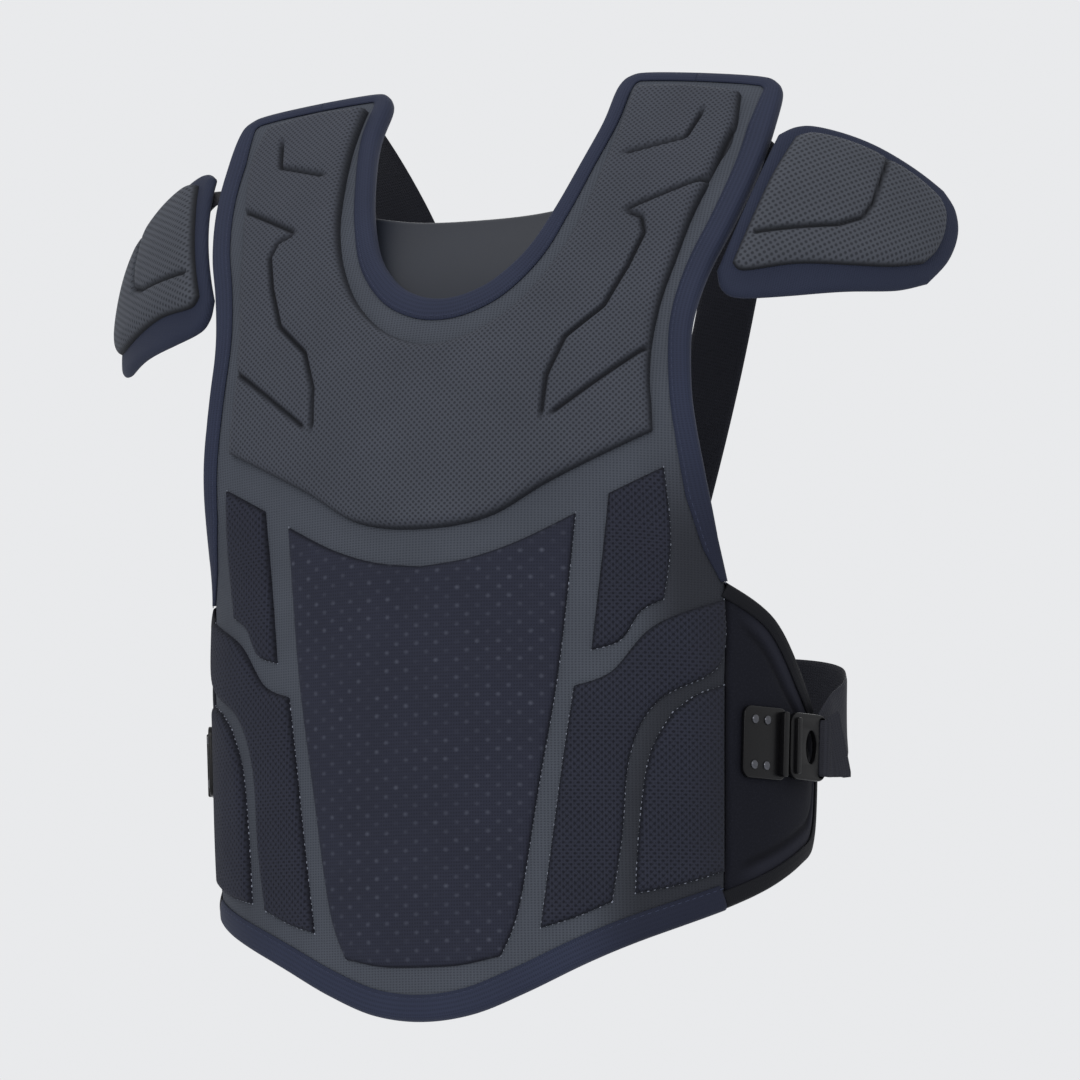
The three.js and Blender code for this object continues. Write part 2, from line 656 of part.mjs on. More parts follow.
// Shoulder cap: place on the dish of one side. gap sets the cap out from the arm edge, and slump is how far
// each millimetre out hangs down along that edge.
function capPlace(sign, { gap, slump }) {
  const along = CAP.along.clone().normalize();
  const outward = CAP.outward.clone().addScaledVector(along, -CAP.outward.dot(along)).normalize();
  const out = outward.clone().cross(along);
  return ([alongFlat, outFlat], height) => {
    const a = (alongFlat + slump * outFlat) / CAP.bendAlong;
    const o = (outFlat + gap) / CAP.bendOut;
    const sink = CAP.bendOut * (1 - Math.cos(o)) + CAP.bendAlong * (1 - Math.cos(a));
    const alongHere = along.clone().multiplyScalar(Math.cos(a)).addScaledVector(outward, -Math.sin(a));
    const outHere = out.clone().multiplyScalar(Math.cos(o)).addScaledVector(outward, -Math.sin(o));
    const point = CAP.base
      .clone()
      .addScaledVector(along, CAP.bendAlong * Math.sin(a))
      .addScaledVector(out, CAP.bendOut * Math.sin(o))
      .addScaledVector(outward, -sink)
      .addScaledVector(alongHere.cross(outHere).normalize(), height);
    return point.setX(sign * point.x);
  };
}

function bellySidePanel(outline, sign) {
  const grid = gridOf(patchOf(outline), rimmedShares(3, 0.1), rimmedShares(5, 0.06));
  return bellyPanel([sign > 0 ? grid : mirroredGrid(grid)]);
}

// Tab from under the shoulder flap to the underside of the cap
function capTab(sign, place) {
  const { flap, seats, width } = CAP_TAB;
  const flapStops = flap.map(({ spot: [across, down], height }) => ({
    middle: onForm([sign * across, down], height),
    facing: formFrame(sign * across, down).out,
  }));
  const capStops = seats.map(({ spot, height }) => ({
    middle: place(spot, height),
    facing: place(spot, 1).sub(place(spot, 0)),
  }));
  const stops = [...flapStops, ...capStops];
  return strapThrough(stops.map(({ middle, facing }, i) => {
    const before = stops[Math.max(i - 1, 0)].middle;
    const after = stops[Math.min(i + 1, stops.length - 1)].middle;
    return { middle, across: facing.clone().cross(after.clone().sub(before)), width };
  }));
}

function shoulderStrap(sign) {
  const { shoulder, sewn, underFlap, width } = SHOULDER_STRAP;
  const sideways = new THREE.Vector3(1, 0, 0);
  const underStops = underFlap.map((down) => onForm([sign * shoulder, down], UNDERSIDE));
  const backStops = BACK_ROUTE.map(({ y, z, share }) => {
    return new THREE.Vector3(sign * (shoulder + (sewn - shoulder) * share), y, z);
  });
  const route = new THREE.CatmullRomCurve3([...underStops, ...backStops]);
  const flapWidth = formFrame(sign * shoulder, underFlap[1]).right;
  return strapThrough(evenShares(16).map((t) => ({
    middle: route.getPoint(t),
    across: flapWidth.clone().lerp(sideways, smoothstep(t, 0.35, 0.7)),
    width,
  })));
}

// Place of the buckle on one wing: x runs to the rear, z straight out of the wing.
function buckleFrame(sign) {
  const { right, out } = formFrame(sign * BUCKLE.across, BUCKLE.down);
  const rear = right.multiplyScalar(sign);
  const frame = new THREE.Group();
  const basis = new THREE.Matrix4().makeBasis(rear, out.clone().cross(rear), out);
  frame.quaternion.setFromRotationMatrix(basis);
  frame.position.copy(onForm([sign * BUCKLE.across, BUCKLE.down], WING_TOP));
  return frame;
}

// Rounded plate, drawn flat from x = 0 to its length and raised from z = 0
function roundedPlate(length, height, thickness, radius, holes = []) {
  const y = height / 2 - radius;
  const shape = new THREE.Shape();
  shape.absarc(length - radius, -y, radius, -Math.PI / 2, 0);
  shape.absarc(length - radius, y, radius, 0, Math.PI / 2);
  shape.absarc(radius, y, radius, Math.PI / 2, Math.PI);
  shape.absarc(radius, -y, radius, Math.PI, 1.5 * Math.PI);
  shape.holes.push(...holes);
  return new THREE.ExtrudeGeometry(shape, { depth: thickness, bevelEnabled: false, curveSegments: 4 });
}

function bar(width, height, rise, x, z) {
  return new THREE.BoxGeometry(width, height, rise).translate(x, 0, z + rise / 2);
}

function bucklePlate() {
  const plate = roundedPlate(PLATE.length, PLATE.height, PLATE.thickness, PLATE.corner);
  const sunk = PLATE.thickness / 2;
  const barX = PLATE.length - PLATE_BAR.width;
  const end = bar(PLATE_BAR.width, PLATE_BAR.height, PLATE_BAR.rise + sunk, barX, sunk);
  const rivets = [RIVET.insetX, PLATE.length - 2 * RIVET.insetX].flatMap((x) => {
    return [-1, 1].map((row) => {
      const height = RIVET.rise + sunk;
      const y = row * (PLATE.height / 2 - RIVET.insetY);
      const rivet = new THREE.CylinderGeometry(0.8 * RIVET.radius, RIVET.radius, height, RIVET.sides);
      return rivet.rotateX(Math.PI / 2).translate(x, y, sunk + height / 2);
    });
  });
  return fuse(plate, end, ...rivets).translate(-PLATE.length / 2, 0, CLEARANCE);
}

const HOOK_START = PLATE.length / 2 + CLEARANCE;
const SLOT_X = HOOK.length - HOOK.wall - HOOK_SLOT.width / 2;

function buckleHook() {
  const fingerHole = new THREE.Path();
  fingerHole.absellipse(FINGER_HOLE.x, 0, FINGER_HOLE.radiusX, FINGER_HOLE.radiusY, 0, 2 * Math.PI);
  const [x, y] = [HOOK_SLOT.width / 2, HOOK_SLOT.height / 2];
  const slot = new THREE.Path();
  slot.moveTo(SLOT_X - x, -y).lineTo(SLOT_X + x, -y).lineTo(SLOT_X + x, y).lineTo(SLOT_X - x, y);
  const plate = roundedPlate(HOOK.length, HOOK.height, HOOK.thickness, HOOK.corner, [fingerHole, slot]);
  const sunk = HOOK.thickness / 2;
  const ridge = bar(HOOK_BAR.width, HOOK_BAR.height, HOOK_BAR.rise + sunk, HOOK_BAR.inset, sunk);
  return fuse(plate, ridge);
}

// Place of the hook on its plate: it starts behind the bar and tilts in towards the wing.
function hookFrame(plateFrame) {
  const frame = new THREE.Group();
  frame.position.set(HOOK_START, 0, HOOK.lift);
  frame.rotation.y = HOOK.tilt;
  plateFrame.add(frame);
  plateFrame.updateWorldMatrix(false, true);
  return frame;
}

// Waist strap: a tail outside the left hook, a turn through its slot, round the back and the same again
function waistStrap(leftHook) {
  const up = new THREE.Vector3(0, 0, 1);
  const slotWay = new THREE.Vector3(0, 1, 0).transformDirection(leftHook.matrixWorld);
  const turn = WEBBING / 2 + 2 * CLEARANCE;
  const outside = HOOK.thickness + turn;
  const { tail, tailLift, tailRise, throat, width } = WAIST_STRAP;
  const turnStops = [
    { x: HOOK.length + tail, rise: tailRise, z: outside + tailLift, width: 0.9 * width },
    { x: HOOK.length + tail / 2, rise: tailRise / 2, z: outside + tailLift / 2, width: 0.85 * width },
    { x: HOOK.length, rise: 0, z: outside, width: throat },
    { x: SLOT_X + turn, rise: 0, z: outside, width: throat },
    { x: SLOT_X, rise: 0, z: HOOK.thickness, width: throat },
    { x: SLOT_X, rise: 0, z: 0, width: throat },
    { x: SLOT_X + turn, rise: 0, z: -turn, width: throat },
    { x: HOOK.length, rise: 0, z: -turn, width: throat },
  ].map(({ x, rise, z, width: here }) => {
    const middle = new THREE.Vector3(x, rise, z).applyMatrix4(leftHook.matrixWorld);
    return { middle, across: slotWay, width: here };
  });
  const lead = turnStops.at(-1).middle;
  const stops = [lead, ...WAIST_ROUTE.map(({ x, y, z }) => new THREE.Vector3(x, y, z))];
  const route = new THREE.CatmullRomCurve3(stops);
  const backStops = evenShares(16).slice(1).map((t) => ({
    middle: route.getPoint(t),
    across: up,
    width: throat + (width - throat) * smoothstep(t, 0, 0.2),
  }));
  const half = [...turnStops, ...backStops];
  const otherHalf = half.slice(0, -1).reverse().map(({ middle, across, width: here }) => {
    return { middle: middle.clone().setX(-middle.x), across: across.clone().setX(-across.x), width: here };
  });
  return strapThrough([...half, ...otherHalf]);
}

// Left and right pieces
const wingGrid = gridOf(patchOf(WING), rimmedShares(6, 0.05), rimmedShares(5, 0.05));
const wingRear = wingGrid.map((row) => row.at(-1));
const wingRoute = [
  ...wingGrid[0].slice(1, -1),
  ...wingRear,
  ...wingGrid.at(-1).slice(1, -1).reverse(),
];
const armRoute = [...crest.slice(crestSplit), ...armEdge];
const capGrid = gridOf(patchOf(CAP.outline), rimmedShares(6, 0.06), rimmedShares(5, 0.06));
const capPadGrid = gridOf(patchOf(CAP.pad), rimmedShares(6, 0.06), rimmedShares(5, 0.06));
const plateFrames = SIDES.map(({ sign }) => buckleFrame(sign));
const hookFrames = plateFrames.map(hookFrame);

SIDES.forEach(({ name, sign, cap }, i) => {
  const onSide = (route) => (sign > 0 ? route : route.map(mirrored));
  const armBand = bindEdge(onSide(armRoute), -sign, SHELL_TOP, ARM_BAND);
  const wing = thicken([sign > 0 ? wingGrid : mirroredGrid(wingGrid)], onForm, 0, WING_TOP, WING_BEVEL);
  const wingBand = bindEdge(onSide(wingRoute), -sign, WING_TOP, WING_BAND);
  addPiece(`arm_binding_${name}`, armBand, MATERIALS.navy);
  addPiece(`belly_panel_upper_${name}`, bellySidePanel(BELLY_PANELS.upper, sign), MATERIALS.mesh);
  addPiece(`belly_panel_lower_${name}`, bellySidePanel(BELLY_PANELS.lower, sign), MATERIALS.mesh);
  addPiece(`belly_panel_outer_${name}`, bellySidePanel(BELLY_PANELS.outer, sign), MATERIALS.mesh);
  addPiece(`wing_${name}`, wing, MATERIALS.wing);
  addPiece(`wing_binding_${name}`, wingBand, MATERIALS.wing);

  const place = capPlace(sign, cap);
  const capPad = thicken([capPadGrid], place, CAP.top + CAP.padGap, CAP.padTop, CAP.padBevel);
  const capGroove = grooveCutter(CAP.groove, place, CAP.padTop);
  addPiece(`shoulder_cap_${name}`, thicken([capGrid], place, 0, CAP.top, CAP.bevel), MATERIALS.navy);
  addPiece(`shoulder_cap_pad_${name}`, cut(capPad, [capGroove]), MATERIALS.dimpled);
  addPiece(`cap_tab_${name}`, capTab(sign, place), MATERIALS.webbing);

  protector.add(plateFrames[i]);
  addPiece(`buckle_plate_${name}`, bucklePlate(), MATERIALS.plastic, plateFrames[i]);
  addPiece(`buckle_hook_${name}`, buckleHook(), MATERIALS.plastic, hookFrames[i]);
  addPiece(`shoulder_strap_${name}`, shoulderStrap(sign), MATERIALS.webbing);
});
addPiece("waist_strap", waistStrap(hookFrames[0]), MATERIALS.webbing);

export default protector;
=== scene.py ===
"""Dressed model of a catcher's chest protector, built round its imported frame.

Lengths in the tables are millimetres, as in the part's source, and the meshes are made in metres. Most
pieces are drawn flat, in two lengths that run along the body, across and down, with a height above the body.
The torso form turns such a flat place into a point in space.
"""

from __future__ import annotations

import logging
import math
from collections.abc import Callable, Sequence
from dataclasses import dataclass
from enum import Enum
from functools import cached_property
from typing import NamedTuple

import bpy
import numpy as np
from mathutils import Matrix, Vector
from numpy.typing import NDArray

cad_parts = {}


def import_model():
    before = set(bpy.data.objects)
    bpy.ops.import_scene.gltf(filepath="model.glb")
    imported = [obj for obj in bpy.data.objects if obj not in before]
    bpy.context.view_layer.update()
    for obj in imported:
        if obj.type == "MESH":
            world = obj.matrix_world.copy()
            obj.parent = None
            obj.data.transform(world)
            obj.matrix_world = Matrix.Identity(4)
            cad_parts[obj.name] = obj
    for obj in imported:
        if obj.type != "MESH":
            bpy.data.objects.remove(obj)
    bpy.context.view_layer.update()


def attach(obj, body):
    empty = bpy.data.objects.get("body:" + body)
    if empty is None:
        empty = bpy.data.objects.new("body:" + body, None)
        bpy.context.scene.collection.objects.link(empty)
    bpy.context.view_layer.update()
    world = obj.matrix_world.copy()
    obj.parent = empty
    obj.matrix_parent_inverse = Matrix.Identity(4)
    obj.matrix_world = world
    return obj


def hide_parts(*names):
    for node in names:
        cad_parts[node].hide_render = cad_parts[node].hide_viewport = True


LOG = logging.getLogger("chest_protector")
MM = 0.001
BODY = "root"
# Half step for measuring a form's slopes, and the points that stand for a pattern's edge, for its neck and
# for a tape's route.
PROBE = 0.5
EDGE_POINTS = 61
NECK_POINTS = 81
ROUTE_POINTS = 301

Array = NDArray[np.float64]
Places = Sequence[tuple[float, float]]
Placing = Callable[[Array, Array], Array]


class Side(Enum):
    """Side of the wearer: its name, its sign along X and how its shoulder cap hangs there.

    The cap stands off the arm edge by a gap in millimetres, and each millimetre out hangs down by a slump.
    """

    LEFT = ("left", 1.0, 0.0, 0.0)
    RIGHT = ("right", -1.0, 1.0, 0.25)

    def __init__(self, label: str, sign: float, gap: float, slump: float) -> None:
        """Unpacks a side.

        Args:
            label: Name used in node names.
            sign: Sign of X on this side.
            gap: Distance of the cap from the arm edge.
            slump: Share of each length out by which the cap hangs down.
        """
        self.label = label
        self.sign = sign
        self.gap = gap
        self.slump = slump

    def flip(self, flat: Array) -> Array:
        """Turns flat places of the left half into this side's."""
        return flat * np.array([self.sign, 1.0])


class MeshPattern(Enum):
    """How a spacer mesh is knitted: pale specks on a plain ground, or rows of small holes."""

    SPECKS = "specks"
    HOLES = "holes"


# Curves and distances


def smoothstep(values: Array, low: float, high: float) -> Array:
    """Eases from 0 at low to 1 at high.

    Args:
        values: Numbers to ease.
        low: Where the rise starts.
        high: Where it ends.

    Returns:
        Shares from 0 to 1.
    """
    share = np.clip((np.asarray(values, float) - low) / (high - low), 0.0, 1.0)
    return share * share * (3.0 - 2.0 * share)


def run_between(here: Array, there: Array, lead: Array, trail: Array, t: Array) -> Array:
    """Smooth run from one point to the next.

    Args:
        here: Where it starts.
        there: Where it ends.
        lead: Slope at its start.
        trail: Slope at its end.
        t: Share of the way.

    Returns:
        The points at those shares.
    """
    cubic = (2 * here - 2 * there + lead + trail) * t**3
    square = (-3 * here + 3 * there - 2 * lead - trail) * t**2
    return cubic + square + lead * t + here


def smooth_curve(places: Sequence[Sequence[float]], shares: Array) -> Array:
    """Smooth curve through places, with equal shares between them.

    Args:
        places: Points that the curve passes through.
        shares: Where to sample it, from 0 to 1.

    Returns:
        One row for each share.
    """
    points = np.asarray(places, float)
    last = len(points) - 1
    at = np.clip(shares, 0.0, 1.0) * last
    i = np.minimum(at.astype(int), last - 1)
    t = (at - i)[:, None]
    before, here = points[np.maximum(i - 1, 0)], points[i]
    there, after = points[i + 1], points[np.minimum(i + 2, last)]
    return run_between(here, there, (there - before) / 2, (after - here) / 2, t)


def even_route(route: Array, step: float) -> Array:
    """Resamples a route so that its points lie about step apart.

    Args:
        route: Points along the route.
        step: Wanted spacing in the route's units.

    Returns:
        Evenly spaced points, both ends kept.
    """
    lengths = np.linalg.norm(np.diff(route, axis=0), axis=1)
    along = np.concatenate([[0.0], np.cumsum(lengths)])
    wanted = np.linspace(0.0, along[-1], max(2, round(along[-1] / step) + 1))
    return np.stack([np.interp(wanted, along, route[:, k]) for k in range(route.shape[1])], axis=1)


def route_distance(flat: Array, route: Array) -> tuple[Array, Array]:
    """Distance of flat places from a route, and how far along it they lie.

    Args:
        flat: Places, one a row.
        route: Points of the route.

    Returns:
        Distance of each place, and the length of the route up to its nearest point.
    """
    best = np.full(len(flat), np.inf)
    along = np.zeros(len(flat))
    start = 0.0
    for a, b in zip(route[:-1], route[1:]):
        way = b - a
        length = float(np.linalg.norm(way))
        if length < 1e-9:
            continue
        share = np.clip(((flat - a) @ way) / length**2, 0.0, 1.0)
        gap = np.linalg.norm(flat - a - share[:, None] * way, axis=1)
        nearer = gap < best
        best = np.where(nearer, gap, best)
        along = np.where(nearer, start + share * length, along)
        start += length
    return best, along


def rim_distance(flat: Array, rims: Sequence[Array]) -> Array:
    """Distance of flat places from the nearest of several routes."""
    return np.min([route_distance(flat, rim)[0] for rim in rims], axis=0)


def quarter_round(distance: Array, reach: float) -> Array:
    """Profile of a rounded edge: 0 at the rim and 1 from reach inwards."""
    share = np.clip(distance / reach, 0.0, 1.0)
    return np.sqrt(1.0 - (1.0 - share) ** 2)


def edge_shares(steps: int, even_part: float = 0.45) -> Array:
    """Shares from 0 to 1 that lie closer together at both ends, the more so the less of them is even."""
    even = np.linspace(0.0, 1.0, steps + 1)
    return even_part * even + (1.0 - even_part) * (0.5 - 0.5 * np.cos(np.pi * even))


def unit(vectors: Array) -> Array:
    """Vectors with their length made 1."""
    return vectors / np.linalg.norm(vectors, axis=-1, keepdims=True)


# Forms that carry the flat patterns


class Section(NamedTuple):
    """One cross-section of the torso form: its place on the centre line and the curves of front and flank."""

    y: float
    z: float
    front_radius: float
    front_arc: float
    flank_radius: float


@dataclass(frozen=True)
class TorsoForm:
    """Body side of the front, from behind the shoulder crest down to the hem."""

    sections: tuple[Section, ...] = (
        Section(36, 17, 1400, 300, 120),
        Section(4, 19.5, 1400, 300, 120),
        Section(-38, -24, 1050, 240, 120),
        Section(-80, -92, 950, 200, 116),
        Section(-116, -180, 545, 165, 108),
        Section(-128, -270, 300, 128, 110),
        Section(-130, -360, 270, 120, 116),
        Section(-130, -460, 255, 115, 118),
        Section(-127, -575, 245, 103, 107),
    )

    @cached_property
    def knots(self) -> Array:
        """Length down to each section."""
        places = np.array([(s.y, s.z) for s in self.sections])
        return np.concatenate([[0.0], np.cumsum(np.linalg.norm(np.diff(places, axis=0), axis=1))])

    def value(self, column: str, down: Array) -> Array:
        """One column of the sections, smoothed along the way down.

        Args:
            column: Name of a section's field.
            down: Lengths down.

        Returns:
            The column's value at each length.
        """
        knots = self.knots
        values = np.array([getattr(s, column) for s in self.sections], float)
        index = np.arange(len(knots))
        before, after = np.maximum(index - 1, 0), np.minimum(index + 1, len(knots) - 1)
        slopes = (values[after] - values[before]) / (knots[after] - knots[before])
        i = np.clip(np.searchsorted(knots, down, side="right") - 1, 0, len(knots) - 2)
        span = knots[i + 1] - knots[i]
        t = (down - knots[i]) / span
        rise = t * t * (3 - 2 * t) * (values[i + 1] - values[i])
        return values[i] + rise + span * t * (1 - t) * ((1 - t) * slopes[i] - t * slopes[i + 1])

    def point(self, flat: Array) -> Array:
        """Points on the body side: a front arc that runs on into a flank arc.

        Args:
            flat: Rows of across and down.

        Returns:
            Points in millimetres.
        """
        across, down = flat[:, 0], flat[:, 1]
        dy = self.value("y", down + PROBE) - self.value("y", down - PROBE)
        dz = self.value("z", down + PROBE) - self.value("z", down - PROBE)
        length = np.hypot(dy, dz)
        front, arc = self.value("front_radius", down), self.value("front_arc", down)
        flank_radius = self.value("flank_radius", down)
        turn = np.minimum(np.abs(across), arc) / front
        flank = turn + np.maximum(np.abs(across) - arc, 0.0) / flank_radius
        x = front * np.sin(turn) + flank_radius * (np.sin(flank) - np.sin(turn))
        inward = front * (1 - np.cos(turn)) + flank_radius * (np.cos(turn) - np.cos(flank))
        y = self.value("y", down) - dz / length * inward
        z = self.value("z", down) + dy / length * inward
        return np.stack([np.sign(across) * x, y, z], axis=1)

    def frame(self, flat: Array) -> tuple[Array, Array, Array]:
        """Directions at flat places.

        Args:
            flat: Rows of across and down.

        Returns:
            Unit vectors across, down and straight out of the body, one row for each place.
        """
        sideways, downwards = np.array([PROBE, 0.0]), np.array([0.0, PROBE])
        right = unit(self.point(flat + sideways) - self.point(flat - sideways))
        below = unit(self.point(flat + downwards) - self.point(flat - downwards))
        return right, below, unit(np.cross(below, right))

    def on(self, flat: Array, height: Array) -> Array:
        """Points at a height above the body.

        Args:
            flat: Rows of across and down.
            height: One height for each row, or one for all.

        Returns:
            Points in millimetres.
        """
        out = self.frame(flat)[2]
        return self.point(flat) + out * np.broadcast_to(height, len(flat))[:, None]


@dataclass(frozen=True)
class CapForm:
    """Shallow dish beside the arm edge. Its flat places are along the arm edge and out from it."""

    side: Side
    base: tuple[float, float, float] = (186.5, -54.5, -76)
    along: tuple[float, float, float] = (-0.08, -0.4, -0.912)
    outward: tuple[float, float, float] = (0.4, -0.856, 0.32)
    bend_out: float = 165
    bend_along: float = 200

    def on(self, flat: Array, height: Array) -> Array:
        """Points on the dish at a height.

        Args:
            flat: Rows of along and out.
            height: One height for each row, or one for all.

        Returns:
            Points in millimetres.
        """
        along = unit(np.array(self.along))
        outward = np.array(self.outward)
        outward = unit(outward - along * (outward @ along))
        out = np.cross(outward, along)
        a = ((flat[:, 0] + self.side.slump * flat[:, 1]) / self.bend_along)[:, None]
        o = ((flat[:, 1] + self.side.gap) / self.bend_out)[:, None]
        sink = self.bend_out * (1 - np.cos(o)) + self.bend_along * (1 - np.cos(a))
        along_here = along * np.cos(a) - outward * np.sin(a)
        out_here = out * np.cos(o) - outward * np.sin(o)
        dish = along * self.bend_along * np.sin(a) + out * self.bend_out * np.sin(o) - outward * sink
        lift = unit(np.cross(along_here, out_here)) * np.broadcast_to(height, len(flat))[:, None]
        return (np.array(self.base) + dish + lift) * np.array([self.side.sign, 1.0, 1.0])


# Flat patterns


@dataclass(frozen=True)
class Outline:
    """Flat pattern between four edges, each a smooth curve through a few places."""

    top: Places
    outer: Places
    bottom: Places
    inner: Places

    def edge(self, name: str, shares: Array) -> Array:
        """Points of one named edge."""
        return smooth_curve(getattr(self, name), shares)

    def grid(self, columns: Array, rows: Array) -> Array:
        """Rows and columns of flat places that fill the pattern.

        Args:
            columns: Shares from the inner edge to the outer one.
            rows: Shares from the top to the bottom.

        Returns:
            Places, indexed by row, column and coordinate.
        """
        top, bottom = self.edge("top", columns)[None], self.edge("bottom", columns)[None]
        inner, outer = self.edge("inner", rows)[:, None], self.edge("outer", rows)[:, None]
        u, w = columns[None, :, None], rows[:, None, None]
        corners = [self.edge(n, np.array([s]))[0] for n in ("top", "bottom") for s in (0.0, 1.0)]
        upper = (1 - u) * corners[0] + u * corners[1]
        lower = (1 - u) * corners[2] + u * corners[3]
        ruled = (1 - w) * top + w * bottom + (1 - u) * inner + u * outer
        return ruled - (1 - w) * upper - w * lower

    def fine_grid(self, steps: tuple[int, int]) -> Array:
        """Grid of so many steps across and down, closer together along the edges."""
        return self.grid(edge_shares(steps[0]), edge_shares(steps[1]))

    def rims(self, *names: str) -> list[Array]:
        """Routes along the named edges, or along all four."""
        shares = np.linspace(0.0, 1.0, EDGE_POINTS)
        return [self.edge(name, shares) for name in names or ("top", "outer", "bottom", "inner")]


@dataclass(frozen=True)
class RungOutline(Outline):
    """Left half of a pattern with a neck: its inner edge follows the neck, then the centre line."""

    neck_rungs: int = 0
    seam: float = 181

    def edge(self, name: str, shares: Array) -> Array:
        """Points of one named edge; neck and bottom run on into the other half without a corner.

        Args:
            name: Edge of the pattern.
            shares: Where to sample it, from 0 to 1.

        Returns:
            One flat place for each share.
        """
        mirror = np.array([-1.0, 1.0])
        if name == "bottom":
            half = np.asarray(self.bottom, float)
            return smooth_curve([*(half[:0:-1] * mirror), *half], 0.5 + 0.5 * shares)
        if name != "inner":
            return super().edge(name, shares)
        inner = np.asarray(self.inner, float)
        last, neck = len(inner) - 1, self.neck_rungs
        rung = shares * last
        beyond = inner[neck - 1] * mirror
        above = smooth_curve([*inner[: neck + 1], beyond], rung / (neck + 1))
        below = smooth_curve(inner[neck:], (rung - neck) / (last - neck))
        return np.where((rung < neck)[:, None], above, below)

    def grid(self, columns: Array, rows: Array) -> Array:
        """Rows and columns of flat places, held between the centre line and the side seam.

        Args:
            columns: Shares from the inner edge to the outer one.
            rows: Shares from the top to the bottom.

        Returns:
            Places, indexed by row, column and coordinate.
        """
        places = super().grid(columns, rows)
        places[..., 0] = np.clip(places[..., 0], 0.0, self.seam)
        return places

    def neck_rim(self) -> Array:
        """Route down the neck to the centre line."""
        share = self.neck_rungs / (len(self.inner) - 1)
        return self.edge("inner", np.linspace(0.0, share, NECK_POINTS))

    def free_rims(self) -> list[Array]:
        """Routes along every edge but the centre line."""
        return [*self.rims("top", "outer", "bottom"), self.neck_rim()]


# Meshes

# Places alike to this many decimals of a millimetre are one, and faces below this area are left out.
WELD_DECIMALS = 2
SLIVER_MM2 = 1e-4


def mesh_object(
    name: str, points: Array, faces: Sequence[Sequence[int]], fields: dict[str, Array]
) -> bpy.types.Object:
    """Smooth-shaded mesh object in the scene.

    Args:
        name: Name of the object.
        points: Vertices in millimetres.
        faces: Vertex numbers of each face.
        fields: Values for each vertex, which the finishes read by name: numbers or rows of three.

    Returns:
        The new object.
    """
    mesh = bpy.data.meshes.new(name)
    mesh.from_pydata((points * MM).tolist(), [], [list(map(int, f)) for f in faces])
    for key, values in fields.items():
        rows = np.asarray(values, np.float32)
        kind, slot = ("FLOAT", "value") if rows.ndim == 1 else ("FLOAT_VECTOR", "vector")
        mesh.attributes.new(key, kind, "POINT").data.foreach_set(slot, rows.ravel())
    mesh.polygons.foreach_set("use_smooth", np.ones(len(mesh.polygons), bool))
    mesh.update()
    obj = bpy.data.objects.new(name, mesh)
    bpy.context.scene.collection.objects.link(obj)
    return obj


def outward(points: Array, faces: list[list[int]]) -> list[list[int]]:
    """Turns a closed body's faces round where its volume comes out negative.

    Args:
        points: Vertices.
        faces: Vertex numbers of each face, all turned one way.

    Returns:
        The faces, turned outwards.
    """
    fans = np.array([(f[0], f[k], f[k + 1]) for f in faces for k in range(1, len(f) - 1)])
    a, b, c = (points[fans[:, k]] for k in range(3))
    volume = np.einsum("ij,ij->i", a, np.cross(b, c)).sum()
    return faces if volume > 0 else [f[::-1] for f in faces]


def tube_faces(count: int, size: int) -> list[list[int]]:
    """Faces of a tube through rings of points, closed at both ends.

    Args:
        count: How many rings there are.
        size: How many points each ring has.

    Returns:
        Vertex numbers of each face.
    """
    index = np.arange(count * size).reshape(count, size)
    ahead = np.roll(index, -1, axis=1)
    walls = np.stack([index[:-1], ahead[:-1], ahead[1:], index[1:]], axis=-1).reshape(-1, 4)
    return [*walls.tolist(), index[0, ::-1].tolist(), index[-1].tolist()]


